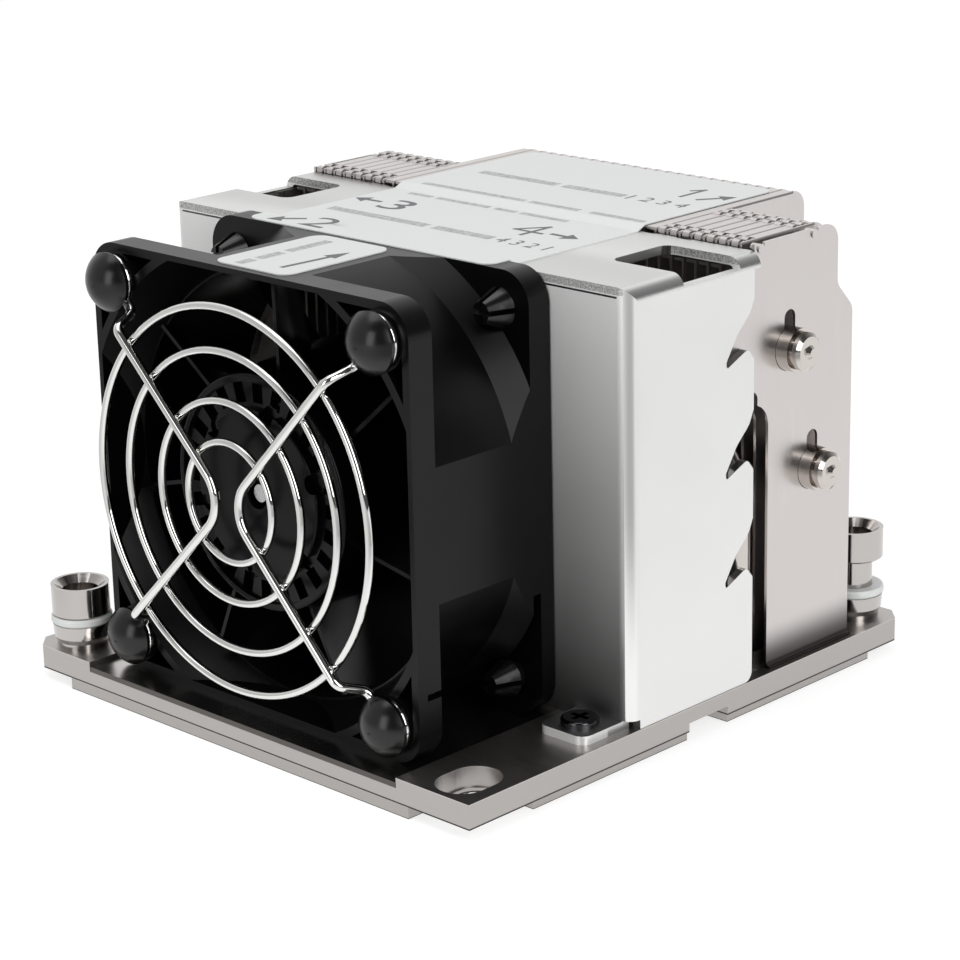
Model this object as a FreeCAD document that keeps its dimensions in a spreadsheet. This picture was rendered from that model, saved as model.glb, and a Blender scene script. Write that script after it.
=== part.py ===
"""Active 2U server CPU cooler: fin stack, heat pipes, shroud, 60 mm fan and captive nuts.

The frame is the cooler's own: +X to its right, +Y with the air flow from the fan to the
rear fins, +Z up. The origin lies at the middle of the base, on the CPU contact face.
All sizes are in millimetres and are kept in the sheet called Sizes.
"""
import FreeCAD, Part
import math
import os
import re

import Sketcher
from FreeCAD import Placement, Rotation, Vector

os.makedirs("parts", exist_ok=True)
doc = FreeCAD.newDocument("ServerCpuCooler")

# ------------------------------------------------------------------ driving sizes
SIZES = {
    # base plate and the parts that lie flat in it
    "plate_x": 86.0, "plate_y": 89.0, "plate_thick": 3.4, "corner_cut": 2.25,
    "step_x": 84.0, "step_thick": 1.6, "shelf_x": 60.4, "shelf_thick": 0.75,
    "shelf_sink": 1.4, "shelf_fit": 0.1, "seat_fit": 0.05, "relief_in": 33.0,
    "post_relief_x": 32.4, "post_relief_y": 32.0,
    "nut_relief_x": 34.6, "nut_relief_y": 37.3, "side_relief": 8.3, "side_notch": 1.25,
    "edge_notch_y": 1.05, "edge_notch": 7.9, "groove_short": 33.5, "groove_long": 41.0,
    "spreader_thick": 1.9, "spreader_inset": 1.5, "spreader_wide_rear": 32.5,
    # guide slots for the socket's posts
    "slot_x": 37.6, "slot_y": 38.9, "slot_wide": 6.9, "slot_long": 9.3,
    "slot_ledge": 0.35, "slot_sink": 2.8,
    # captive nuts
    "nut_x": 37.3, "nut_y": 39.9, "side_nut_gap": 0.1, "side_nut_y": 1.95,
    "nut_lift": 4.1, "head_r": 4.1, "head_tall": 4.4, "head_mouth_r": 3.6,
    "head_chamfer": 0.25,
    "socket_r": 2.6, "socket_deep": 3.4, "neck_r": 2.65, "tap_r": 1.65, "tap_deep": 6.0,
    "neck_fit": 0.05, "washer_r": 4.3, "washer_tall": 1.2, "washer_edge": 0.3, "collar_r": 4.15,
    "collar_waist_r": 3.65, "collar_tall": 3.4, "collar_lip": 1.5, "collar_bore_r": 3.1,
    "collar_roof": 0.8, "spigot_r": 3.6, "ring_r": 3.0, "ring_thick": 0.5,
    "ring_groove_r": 2.3, "neck_tail": 0.8,
    # fin stack
    "fin_thick": 0.4, "end_fin_gap": 0.1, "fin_half_count": 12, "side_fin_count": 8,
    "fin_top": 64.3, "fin_front": -8.0, "fin_rear": 43.4, "fin_corner": 2.5,
    "fin_fold": 0.36,
    "side_fin_front": 7.5, "side_fin_rear": 32.8, "side_fin_waist": 29.4,
    "side_fin_shoulder": 52.2, "side_fin_slope": 3.6, "fin_shroud_gap": 0.3,
    "curl_row_front": 12.95, "curl_row_rear": 24.2, "curl_r": 0.62, "curl_step": 1.75,
    "curl_high": 0.24, "curl_slit": 0.45, "curl_slit_deep": 0.6, "end_notch": 1.7,
    "end_notch_deep": 1.3, "fin_gap": 0.35, "end_fin_front": 10.9, "end_fin_under": 4.0,
    "end_fin_ledge": 46.5, "end_curl_in": 0.9, "end_curl_out": 0.2, "end_foot": 0.6,
    "end_foot_round": 0.35,
    # heat pipes
    "pipe_r": 3.0, "pipe_fit": 0.05, "pipe_bend": 12.0, "pipe_reach": 37.7,
    "pipe_tip_x": 45.0, "pipe_tip_step": 1.5, "pipe_tip_r": 2.45, "pipe_nib_r": 0.95,
    "pipe_nib": 0.55, "pipe_neck_r": 2.6, "pipe_neck": 0.45, "key_wide": 2.3, "key_tall": 5.3,
    "pipe_a_y": 19.2, "pipe_a_z": 49.0, "pipe_a_low_y": 18.0,
    "pipe_b_y": 24.3, "pipe_b_z": 31.4, "pipe_b_low_y": 25.1,
    "pipe_c_y": 11.4, "pipe_c_z": 39.3, "bend_slot_fit": 0.45, "pipe_c_end": 41.0,
    # shroud
    "sheet": 1.2, "shroud_in": 0.1, "shroud_top": 63.6, "shroud_front": -14.5,
    "shroud_rear": 11.4, "shroud_side_rear": 10.15, "bend_r": 1.9, "shroud_seam": 0.25,
    "side_corner": 1.5, "scallop_r": 3.0, "scallop_deep": 0.45, "scallop_in": 24.2,
    "scallop_out": 30.1,
    "window_x": 30.5, "window_y": 1.7, "window_long": 11.2, "window_corner": 1.6,
    "window_drop": 1.6, "foot_x": 37.4, "foot_wide": 8.0, "foot_long": 7.4,
    "foot_corner": 1.6, "foot_relief": 1.3, "screw_y": -18.1, "screw_head_r": 2.55,
    "screw_head": 0.9,
    "screw_r": 1.45, "screw_tap_r": 1.25, "hook_pitch": 14.95, "hook_mid": 34.55,
    "flap_depth": 2.0,
    # fan
    "fan_size": 60.0, "fan_depth": 25.0, "fan_corner": 4.5, "fan_bolt": 25.0,
    "fan_gap": 0.25, "front_flange": 4.0, "rear_flange": 3.8, "duct_r": 29.0,
    "duct_wall": 2.3, "inlet_r": 32.5, "inlet_deep": 7.0, "inlet_flat": 29.2,
    "flare_r": 33.6, "flare_long": 3.6, "rivet_hole_r": 2.2, "boss_r": 3.9,
    "pocket_deep": 2.6, "pocket_rim": 1.2, "pocket_r": 33.7, "base_r": 16.8,
    "base_thick": 2.2, "strut_wide": 1.8, "strut_deep": 3.2, "strut_count": 4,
    "cable_low": 12.5, "cable_high": 27.3, "cable_deep": 1.4, "hook_notch": 0.9,
    "hook_notch_y": 20.3,
    # rotor
    "hub_r": 16.0, "hub_rear_r": 17.4, "hub_front": 1.4, "hub_rear": 19.6,
    "hub_wall": 1.1, "hub_cap": 2.2, "hub_round": 0.5, "tip_gap": 0.6, "blade_count": 7,
    "disc_r": 11.4, "disc_high": 0.4, "vent_floor": 0.5,
    "blade_thick": 1.3, "blade_front": 4.4, "blade_rear": 19.2, "blade_lean": 7.0,
    "blade_bow": 2.2, "slot_count": 24, "slot_in_r": 12.1, "slot_out_r": 14.8,
    "slot_face_wide": 1.9, "slot_face_deep": 1.5, "dimple_r": 1.3, "dimple_count": 6,
    "dimple_ring_r": 11.1, "dimple_turn": 42.0, "dimple_deep": 0.9, "tip_sink": 0.6,
    "tip_recess_r": 2.0, "tip_recess": 1.2, "tip_chamfer": 0.3, "yoke_wall": 0.8,
    "magnet_thick": 2.3, "shaft_r": 1.5,
    "shaft_rear": 23.6, "bearing_r": 4.0, "bearing_long": 3.5, "bearing_fit": 0.02,
    "tube_wall": 1.0, "tube_front": 8.6, "air_gap": 0.5, "core_front": 9.6,
    "core_rear": 17.6, "pole_count": 4, "board_thick": 1.0, "clip_r": 2.9,
    "clip_thick": 0.5,
    # rivets and guard
    "rivet_head_r": 4.05, "rivet_head": 2.8, "rivet_rim": 0.5, "rivet_shank_r": 2.0,
    "rivet_bulge_r": 2.7, "rivet_tail": 3.4, "rear_rivet_head_r": 2.95,
    "rear_rivet_tail": 3.4, "ring_wire_r": 0.55, "spoke_wire_r": 0.65, "ring_1_r": 8.05,
    "ring_2_r": 13.5, "ring_3_r": 20.1, "ring_4_r": 25.85, "guard_plane": 3.6,
    "spoke_right": 1.0, "spoke_left": 0.5, "spoke_round": 5.0, "spoke_knee": 2.4,
    "eye_r": 3.1, "spoke_seat": 1.2, "spoke_turn": 1.6,
    # labels
    "label_x": 46.0, "label_lap": 3.6, "label_rear": 39.5, "label_thick": 0.15,
    "label_ramp": 1.2, "label_bridge": 0.2,
    "fan_label_x": 14.0, "fan_label_y": 19.0, "fan_label_from": 1.2,
    "label_corner": 2.0,
}
COUNTS = ("fin_half_count", "side_fin_count", "blade_count", "slot_count", "dimple_count",
          "strut_count", "pole_count")

sheet = doc.addObject("Spreadsheet::Sheet", "Sizes")
for row, (alias, value) in enumerate(SIZES.items(), start=1):
    sheet.set("A%d" % row, alias)
    sheet.set("B%d" % row, str(value))
    sheet.setAlias("B%d" % row, alias)

# sizes that follow from the ones above
DERIVED = {
    "plate_top": "step_thick + plate_thick",
    "spreader_top": "plate_top + spreader_thick",
    "shelf_floor": "plate_top - shelf_sink",
    "fan_bottom": "shelf_floor + shelf_thick",
    "fan_axis_z": "fan_bottom + fan_size / 2",
    "fan_front_y": "shroud_front - fan_gap - fan_depth",
    "shroud_half": "plate_x / 2 - shroud_in",
    "shroud_inner": "shroud_half - sheet",
    "side_nut_x": "shroud_inner - washer_r - side_nut_gap",
    "fin_pitch": "(shroud_inner - end_fin_gap - fin_thick / 2)"
                 " / (fin_half_count + side_fin_count)",
    "washer_z": "plate_top + collar_tall",
    "head_z": "washer_z + washer_tall",
    "ring_low_z": "washer_z - collar_roof - ring_thick - nut_lift",
    "neck_low_z": "ring_low_z - neck_tail",
    "fin_step": "shroud_top - sheet - fin_shroud_gap",
    "centre_half": "fin_pitch * fin_half_count",
    "blade_tip_r": "duct_r - tip_gap",
    "barrel_r": "duct_r + duct_wall",
    "tube_r": "bearing_r + tube_wall",
    "base_front": "fan_depth - base_thick",
    "yoke_r": "hub_r - hub_wall",
    "magnet_r": "yoke_r - yoke_wall",
    "core_r": "magnet_r - magnet_thick - air_gap",
    "guard_y": "fan_front_y - guard_plane",
}
ALIASES = set(SIZES) | set(DERIVED)


def formula(text):
    """Write a formula with bare size names as one that the document can read."""
    return re.sub(r"[a-z_][a-z_0-9]*",
                  lambda word: "Sizes." + word.group() if word.group() in ALIASES
                  else word.group(), text)


for row, (alias, text) in enumerate(DERIVED.items(), start=len(SIZES) + 2):
    sheet.set("A%d" % row, alias)
    sheet.set("B%d" % row, "=" + re.sub("Sizes\\.", "", formula(text)))
    sheet.setAlias("B%d" % row, alias)
doc.recompute()


def size(alias):
    """Read one size from the sheet, for shapes that are set in code."""
    value = float(sheet.get(alias))
    return int(round(value)) if alias in COUNTS else value


# ------------------------------------------------------------------ small helpers
NODES = {}


def node(feature, label):
    """Name a finished sub-part; its label names its file."""
    feature.Label = label
    NODES[label] = feature
    return feature


def bind(feature, formulas):
    for path, text in formulas.items():
        feature.setExpression(path, formula(text))
    return feature


def place(feature, x="0", y="0", z="0"):
    return bind(feature, {"Placement.Base.x": x, "Placement.Base.y": y,
                          "Placement.Base.z": z})


def box(name, x, y, z, length, width, height):
    feature = doc.addObject("Part::Box", name)
    bind(feature, {"Length": length, "Width": width, "Height": height})
    return place(feature, x, y, z)


def cylinder(name, radius, height, x="0", y="0", z="0"):
    feature = doc.addObject("Part::Cylinder", name)
    bind(feature, {"Radius": radius, "Height": height})
    return place(feature, x, y, z)


def cone(name, radius_low, radius_high, height, z="0"):
    feature = doc.addObject("Part::Cone", name)
    bind(feature, {"Radius1": radius_low, "Radius2": radius_high, "Height": height})
    return place(feature, "0", "0", z)


def cut(name, base, *tools):
    feature = doc.addObject("Part::Cut", name)
    feature.Base = base
    feature.Tool = tools[0] if len(tools) == 1 else fuse(name + "_tools", *tools)
    return feature


def fuse(name, *shapes):
    feature = doc.addObject("Part::MultiFuse", name)
    feature.Shapes = list(shapes)
    return feature


def common(name, *shapes):
    feature = doc.addObject("Part::MultiCommon", name)
    feature.Shapes = list(shapes)
    return feature


def new_body(name):
    return doc.addObject("PartDesign::Body", name)


def plane_of(body, role):
    return next(item for item in body.Origin.OriginFeatures if item.Role == role)


def sketch_on(body, name, role, level="0"):
    sketch = body.newObject("Sketcher::SketchObject", name)
    sketch.AttachmentSupport = [(plane_of(body, role), "")]
    sketch.MapMode = "FlatFace"
    return bind(sketch, {"AttachmentOffset.Base.z": level})


def pin_point(sketch, geometry, end, across, up):
    """Hold one point of a sketch at a place given by two formulas."""
    for kind, text in (("DistanceX", across), ("DistanceY", up)):
        index = sketch.addConstraint(
            Sketcher.Constraint(kind, -1, 1, geometry, end, 1.0))
        bind(sketch, {"Constraints[%d]" % index: text})


def outline(body, name, role, corners, level="0"):
    """A closed outline of straight edges, each corner held by two formulas."""
    sketch = sketch_on(body, name, role, level)
    count = len(corners)
    ring = [Vector(10 * math.cos(2 * math.pi * k / count),
                   10 * math.sin(2 * math.pi * k / count), 0) for k in range(count)]
    for k in range(count):
        sketch.addGeometry(Part.LineSegment(ring[k], ring[(k + 1) % count]))
    for k in range(count):
        sketch.addConstraint(Sketcher.Constraint("Coincident", k, 2, (k + 1) % count, 1))
    for k, (across, up) in enumerate(corners):
        pin_point(sketch, k, 1, across, up)
    return sketch


def pad(body, sketch, length, side="One side", reverse=False):
    feature = body.newObject("PartDesign::Pad", sketch.Name + "_pad")
    feature.Profile = sketch
    feature.SideType = side
    feature.Reversed = reverse
    return bind(feature, {"Length": length})


def revolve(body, sketch):
    """Turn a profile in the XZ plane once round the Z axis."""
    feature = body.newObject("PartDesign::Revolution", sketch.Name + "_turn")
    feature.Profile = sketch
    feature.ReferenceAxis = (plane_of(body, "Z_Axis"), [""])
    feature.Angle = 360.0
    return feature


def turned(name, profile):
    """A turned piece, from the half profile (radius, height) of its section."""
    body = new_body(name)
    revolve(body, outline(body, name + "_profile", "XZ_Plane", profile))
    return body


def prism(name, corners, level, height):
    body = new_body(name)
    pad(body, outline(body, name + "_outline", "XY_Plane", corners, level), height)
    return body


def edges_where(feature, test):
    """Names of a feature's edges whose middle point and direction pass a test."""
    names = []
    for index, edge in enumerate(feature.Shape.Edges, start=1):
        middle = edge.valueAt((edge.FirstParameter + edge.LastParameter) / 2)
        if edge.Curve.TypeId == "Part::GeomLine" and test(middle, edge.tangentAt(0)):
            names.append("Edge%d" % index)
    return names


def round_edges(body, feature, radius, test):
    doc.recompute()
    fillet = body.newObject("PartDesign::Fillet", feature.Name + "_round")
    fillet.Base = (feature, edges_where(feature, test))
    return bind(fillet, {"Radius": radius})


def moved(shape, x=0.0, y=0.0, z=0.0, turn=0.0):
    """A copy of a shape, turned about Z and then shifted."""
    copy = shape.copy()
    copy.Placement = Placement(Vector(x, y, z), Rotation(Vector(0, 0, 1), turn)) \
        .multiply(copy.Placement)
    return copy


def coded(label, shapes):
    """A sub-part of one or more separate solids whose shapes are set in code."""
    feature = doc.addObject("Part::Feature", label + "_group")
    feature.Shape = shapes[0] if len(shapes) == 1 else Part.makeCompound(shapes)
    return node(feature, label)


def rounded_wire(points, radii, closed=True):
    """Straight runs joined by tangent arcs; a radius of 0 leaves a sharp corner."""
    count = len(points)
    starts, ends, arcs = [], [], []
    for k in range(count):
        here, radius = points[k], radii[k]
        if radius == 0 or (not closed and k in (0, count - 1)):
            starts.append(here)
            ends.append(here)
            arcs.append(None)
            continue
        back = (points[k - 1] - here).normalize()
        ahead = (points[(k + 1) % count] - here).normalize()
        half = back.getAngle(ahead) / 2
        trim = radius / math.tan(half)
        middle = (back + ahead).normalize()
        starts.append(here + back * trim)
        ends.append(here + ahead * trim)
        arcs.append(here + middle * (radius / math.sin(half) - radius))
    edges = []
    for k in range(count):
        if arcs[k] is not None:
            edges.append(Part.Arc(starts[k], arcs[k], ends[k]).toShape())
        following = (k + 1) % count
        if (closed or following) and (ends[k] - starts[following]).Length > 1e-6:
            edges.append(Part.LineSegment(ends[k], starts[following]).toShape())
    return Part.Wire(edges)


def swept(path, radius):
    """A round bar along a path."""
    first = path.Edges[0]
    start = path.OrderedVertexes[0].Point
    heading = first.tangentAt(first.FirstParameter)
    if (first.valueAt(first.FirstParameter) - start).Length > 1e-6:
        heading = -first.tangentAt(first.LastParameter)
    section = Part.Wire([Part.Circle(start, heading, radius).toShape()])
    shell = Part.BRepOffsetAPI.MakePipeShell(path)
    shell.add(section)
    shell.setTransitionMode(1)
    shell.build()
    shell.makeSolid()
    return shell.shape()


# ------------------------------------------------------------------ base
def build_cold_plate():
    """Contact plate under the base, cut back round the nuts and the guide slots."""
    side_low = "side_nut_y - side_relief / 2"
    side_high = "side_nut_y + side_relief / 2"
    corners = [
        ("post_relief_x", "-plate_y / 2"), ("post_relief_x", "-post_relief_y"),
        ("step_x / 2", "-post_relief_y"), ("step_x / 2", side_low),
        ("relief_in", side_low), ("relief_in", side_high), ("step_x / 2", side_high),
        ("step_x / 2", "nut_relief_y"), ("nut_relief_x", "nut_relief_y"),
        ("nut_relief_x", "plate_y / 2"), ("-post_relief_x", "plate_y / 2"),
        ("-post_relief_x", "post_relief_y"), ("-step_x / 2", "post_relief_y"),
        ("-step_x / 2", side_high), ("-relief_in", side_high), ("-relief_in", side_low),
        ("-step_x / 2", side_low), ("-step_x / 2", "-nut_relief_y"),
        ("-nut_relief_x", "-nut_relief_y"), ("-nut_relief_x", "-plate_y / 2"),
    ]
    node(prism("cold_plate_body", corners, "0", "step_thick"), "cold_plate")


NUT_PLACES = {1: ("nut_x", "nut_y"), 2: ("-nut_x", "-nut_y"),
              3: ("-side_nut_x", "side_nut_y"), 4: ("side_nut_x", "side_nut_y")}
RAISED_NUT = 1


def pipe_grooves(owner):
    """Round grooves, open towards each pipe's bend and domed at its far end."""
    grooves = []
    for tag, low_y, start, far in (("a", "pipe_a_low_y", "-groove_long", "groove_short"),
                                   ("b", "pipe_b_low_y", "-groove_long", "groove_short"),
                                   ("c", "pipe_c_y", "-groove_short", "-groove_short")):
        name = "%s_groove_%s" % (owner, tag)
        straight = cylinder(name + "_run", "pipe_r + pipe_fit",
                            "groove_long + groove_short", start, low_y, "spreader_top")
        straight.Placement.Rotation = Rotation(Vector(0, 1, 0), 90)
        ball = doc.addObject("Part::Sphere", name + "_end")
        bind(ball, {"Radius": "pipe_r + pipe_fit"})
        place(ball, far, low_y, "spreader_top")
        grooves.append(fuse(name, straight, ball))
    return grooves


def obround(name, across, up, wide, long, level, height):
    """A slot-shaped cutter that runs along Y."""
    straight = box(name + "_middle", "%s - (%s) / 2" % (across, wide),
                   "%s - (%s - (%s)) / 2" % (up, long, wide), level, wide,
                   "%s - (%s)" % (long, wide), height)
    ends = [cylinder("%s_end_%d" % (name, k), "(%s) / 2" % wide, height, across,
                     "%s %s (%s - (%s)) / 2" % (up, sign, long, wide), level)
            for k, sign in enumerate("+-")]
    return fuse(name, straight, *ends)


def build_base_plate():
    """Milled plate: fan recess in front, pipe grooves, nut holes and guide slots."""
    half_x, half_y = "plate_x / 2", "plate_y / 2"
    body = prism("base_blank", [
        ("-%s + corner_cut" % half_x, "-" + half_y), (half_x, "-" + half_y),
        (half_x, "%s - corner_cut" % half_y), ("%s - corner_cut" % half_x, half_y),
        ("-" + half_x, half_y), ("-" + half_x, "-%s + corner_cut" % half_y),
    ], "step_thick", "plate_thick")
    cutters = [box("shelf_recess", "-shelf_x / 2 - shelf_fit", "-plate_y / 2 - 1",
                   "shelf_floor", "shelf_x + 2 * shelf_fit",
                   "plate_y / 2 + 1 + shroud_front", "shelf_sink + 1")]
    cutters += pipe_grooves("base")
    for tag, (x, y) in NUT_PLACES.items():
        cutters.append(cylinder("nut_hole_%d" % tag, "spigot_r + seat_fit / 2",
                                "plate_thick + 2", x, y, "step_thick - 1"))
    for sign in ("", "-"):
        other = "-" if sign == "" else ""
        tag = "front" if sign == "" else "rear"
        x, y = sign + "slot_x", other + "slot_y"
        cutters.append(obround("guide_%s" % tag, x, y, "slot_wide - 2 * slot_ledge",
                               "slot_long - 2 * slot_ledge", "step_thick - 1",
                               "plate_thick + 2"))
        cutters.append(obround("guide_mouth_%s" % tag, x, y, "slot_wide", "slot_long",
                               "plate_top - slot_sink", "slot_sink + 1"))
        cutters.append(box("side_notch_%s" % tag,
                           "relief_in" if sign == "" else "-plate_x / 2 - 1",
                           "edge_notch_y - edge_notch / 2", "step_thick - 1",
                           "plate_x / 2 + 1 - relief_in", "edge_notch",
                           "side_notch + 1"))
        cutters.append(cylinder("foot_tap_%s" % tag, "screw_tap_r", "plate_thick + 2",
                                sign + "foot_x", "screw_y", "step_thick - 1"))
    node(cut("base_plate_cut", body, *cutters), "base_plate")


def build_shelf():
    """Thin steel sheet in the recess, on which the fan stands."""
    node(box("shelf_box", "-shelf_x / 2", "-plate_y / 2", "shelf_floor", "shelf_x",
             "plate_y / 2 + shroud_front - shelf_fit", "shelf_thick"), "fan_shelf")


def build_spreader():
    """Copper block under the fins, half round grooves for the pipes' lower legs."""
    wide = "centre_half + fin_pitch * side_fin_count - spreader_inset"
    narrow = "centre_half + fin_thick / 2"
    body = prism("spreader_blank", [
        (narrow, "fin_front"), (narrow, "side_fin_front"), (wide, "side_fin_front"),
        (wide, "spreader_wide_rear"), (narrow, "spreader_wide_rear"),
        (narrow, "fin_rear"), ("-(%s)" % narrow, "fin_rear"),
        ("-(%s)" % narrow, "spreader_wide_rear"), ("-(%s)" % wide, "spreader_wide_rear"),
        ("-(%s)" % wide, "side_fin_front"), ("-(%s)" % narrow, "side_fin_front"),
        ("-(%s)" % narrow, "fin_front"),
    ], "plate_top", "spreader_thick")
    node(cut("spreader_cut", body, *pipe_grooves("spreader")), "heat_spreader")


# ------------------------------------------------------------------ fins and pipes
PIPES = {"a": -1, "b": -1, "c": 1}     # which side each pipe turns up on


def pipe_upper(tag):
    return size("pipe_%s_y" % tag), size("pipe_%s_z" % tag)


def pipe_lower_y(tag):
    return size("pipe_c_y") if tag == "c" else size("pipe_%s_low_y" % tag)


def through(y, z, radius):
    """A round cutter through one fin."""
    return Part.makeCylinder(radius, 4.0, Vector(-2.0, y, z), Vector(1, 0, 0))


def slab(y_low, y_high, z_low, z_high):
    return Part.makeBox(4.0, y_high - y_low, z_high - z_low, Vector(-2.0, y_low, z_low))


def keyhole(tag):
    """Pipe hole, then the slit over it that lets solder paste in from above."""
    y, z = pipe_upper(tag)
    half, tall = size("key_wide") / 2, size("key_tall")
    return [through(y, z, size("pipe_r") + size("pipe_fit")),
            slab(y - half, y + half, z, z + tall - half),
            through(y, z + tall - half, half)]


def bend_slot(tag, front):
    """Tall slot in the outer fins that clears the pipe's return bend."""
    y, z = pipe_upper(tag)
    low_y = pipe_lower_y(tag)
    reach = size("pipe_r") + size("bend_slot_fit")
    half, tall = size("key_wide") / 2, size("key_tall")
    low, high = min(y, low_y) - reach, max(y, low_y) + reach
    if low - front < 1.0:
        low = front - 1.0
    return [slab(low, high, 0.0, z), through(y, z, reach),
            slab(y - half, y + half, z, z + tall - half),
            through(y, z + tall - half, half)]


def lower_notch(tag):
    return [through(pipe_lower_y(tag), size("spreader_top"),
                    size("pipe_r") + size("pipe_fit"))]


def fin_outline(front, foot, rear_points, radii):
    """Fin sheet in the YZ plane; its front part steps down under the shroud."""
    top, step = size("fin_top"), size("fin_step")
    edge = size("shroud_rear") + size("fin_shroud_gap")
    points = [Vector(0, front, foot)] + rear_points + [
        Vector(0, edge, top), Vector(0, edge, step), Vector(0, front, step)]
    face = Part.Face(rounded_wire(points, [0.0] + radii + [0.0, 0.0, 0.0]))
    return face.extrude(Vector(size("fin_thick"), 0, 0))


def fin_flange(y_low, y_high, z_low):
    """The edge folded over towards the next fin, which it just meets."""
    thick = size("fin_thick")
    reach = size("fin_pitch") - thick - size("fin_gap")
    return Part.makeBox(reach, y_high - y_low, thick, Vector(-reach, y_low, z_low))


def fold_corner(y_low, y_high):
    """What the fold's outer radius leaves out of a square corner at the top."""
    fold, thick, top = size("fin_fold"), size("fin_thick"), size("fin_top")
    corner = Part.makeBox(fold + 1, y_high - y_low, fold + 1,
                          Vector(thick - fold, y_low, top - fold))
    return corner.cut(Part.makeCylinder(fold, y_high - y_low + 2,
                                        Vector(thick - fold, y_low - 1, top - fold),
                                        Vector(0, 1, 0)))


def centre_fin():
    foot, top, rear = size("spreader_top"), size("fin_top"), size("fin_rear")
    thick, corner = size("fin_thick"), size("fin_corner")
    edge = size("shroud_rear") + size("fin_shroud_gap")
    sheet_part = fin_outline(size("fin_front"), foot,
                             [Vector(0, rear, foot), Vector(0, rear, top)],
                             [0.0, corner])
    flanges = [fin_flange(edge, rear - corner, top - thick),
               fin_flange(size("fin_front"), edge, size("fin_step") - thick),
               fin_flange(size("fin_front"), rear, foot)]
    holes = [cutter for tag in PIPES for cutter in keyhole(tag)[:1] + lower_notch(tag)]
    holes.append(fold_corner(edge, rear - corner))
    return sheet_part.fuse(flanges).cut(holes).removeSplitter()


def curl(y, reach):
    """A lock tab of one fin curled over the edge of the next."""
    radius, high = size("curl_r"), size("curl_high")
    return Part.makeCylinder(radius, reach * 0.8,
                             Vector(-reach * 0.9, y, size("fin_top") + high - radius),
                             Vector(1, 0, 0))


def side_fin(side, place_x):
    """Fin of a side block with its lock tabs; only near fins cross the lower legs."""
    foot, top, rear = size("spreader_top"), size("fin_top"), size("side_fin_rear")
    waist, shoulder = size("side_fin_waist"), size("side_fin_shoulder")
    thick, corner = size("fin_thick"), size("fin_corner")
    edge = size("shroud_rear") + size("fin_shroud_gap")
    front = size("side_fin_front")
    shape = fin_outline(front, foot, side_profile(foot), [0.0, 2.2, 2.2, corner])
    reach = size("fin_pitch") - thick - size("fin_gap")
    pieces = [fin_flange(edge, waist - corner, top - thick),
              fin_flange(front, edge, size("fin_step") - thick),
              fin_flange(front, rear, foot)]
    holes = []
    for row in ("curl_row_front", "curl_row_rear"):
        for step in (-0.5, 0.5):
            y = size(row) + step * size("curl_step")
            pieces.append(curl(y, reach))
            slit = size("curl_slit")
            holes.append(Part.makeBox(reach, slit, size("curl_slit_deep"), Vector(
                -reach * 0.95, y + size("curl_r"), top + 0.2 - size("curl_slit_deep"))))
    near = size("groove_short") + size("pipe_r") + size("fin_pitch")
    holes += pipe_holes(side, front, abs(place_x) < near)
    shape = shape.fuse(pieces).cut(holes + [fold_corner(edge, waist - corner)])
    return max(shape.removeSplitter().Solids, key=lambda solid: solid.Volume)


def side_profile(foot):
    """Rear corners of a side fin, from its foot up to its top."""
    rear, waist, shoulder = (size("side_fin_rear"), size("side_fin_waist"),
                             size("side_fin_shoulder"))
    return [Vector(0, rear, foot), Vector(0, rear, shoulder),
            Vector(0, waist, shoulder + size("side_fin_slope")),
            Vector(0, waist, size("fin_top"))]


def pipe_holes(side, front, near):
    holes = []
    for tag, turn_side in PIPES.items():
        if turn_side == side:
            holes += bend_slot(tag, front)
        else:
            holes += keyhole(tag)
            if near:
                holes += lower_notch(tag)
    return holes


def end_fin(side):
    """Outermost fin: down to the plate, foot turned out, its top lapped by the shroud."""
    foot, top, thick = size("plate_top"), size("fin_top"), size("fin_thick")
    front, rear = size("end_fin_front"), size("side_fin_rear")
    shape = fin_outline(front, foot, side_profile(foot),
                        [0.0, 2.2, 2.2, size("fin_corner")])
    out = 1 if side > 0 else -1
    lip = size("end_foot")
    start = thick if side > 0 else 0.0
    low = Vector(start, front, foot)
    bend = size("end_foot_round")
    profile = [low, low + Vector(out * lip, 0, 0), low + Vector(out * lip, 0, thick),
               low + Vector(out * bend, 0, thick), low + Vector(0, 0, thick + bend)]
    shoe = Part.Face(rounded_wire(profile, [0.0, 0.0, 0.0, 0.3, 0.0])) \
        .extrude(Vector(0, rear - front, 0))
    holes = pipe_holes(side, front, False)
    under, ledge = size("end_fin_under"), size("end_fin_ledge")
    lap = Part.makeBox(thick, front - under + 0.5, size("fin_step") - size("fin_shroud_gap") - ledge,
                       Vector(0, under, ledge))
    pieces = [shoe, lap]
    deep, wide = size("end_notch_deep"), size("end_notch")
    for row in ("curl_row_front", "curl_row_rear"):
        y = size(row)
        holes.append(slab(y - wide / 2, y + wide / 2, top - deep + wide / 2, top + 1))
        holes.append(through(y, top - deep + wide / 2, wide / 2))
    shape = shape.fuse(pieces).cut(holes).removeSplitter()
    inward, outward = size("end_curl_in"), size("end_curl_out")
    low_x, high_x = (-inward, thick + outward) if side > 0 else (-outward, thick)
    curls = [Part.makeCylinder(size("curl_r"), high_x - low_x,
                               Vector(low_x, size(row), top - deep + size("curl_r") - 0.05),
                               Vector(1, 0, 0))
             for row in ("curl_row_front", "curl_row_rear")]
    whole = shape.fuse(curls).removeSplitter()
    return [solid for solid in whole.Solids if solid.Volume > 0.02 * whole.Volume]


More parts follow.
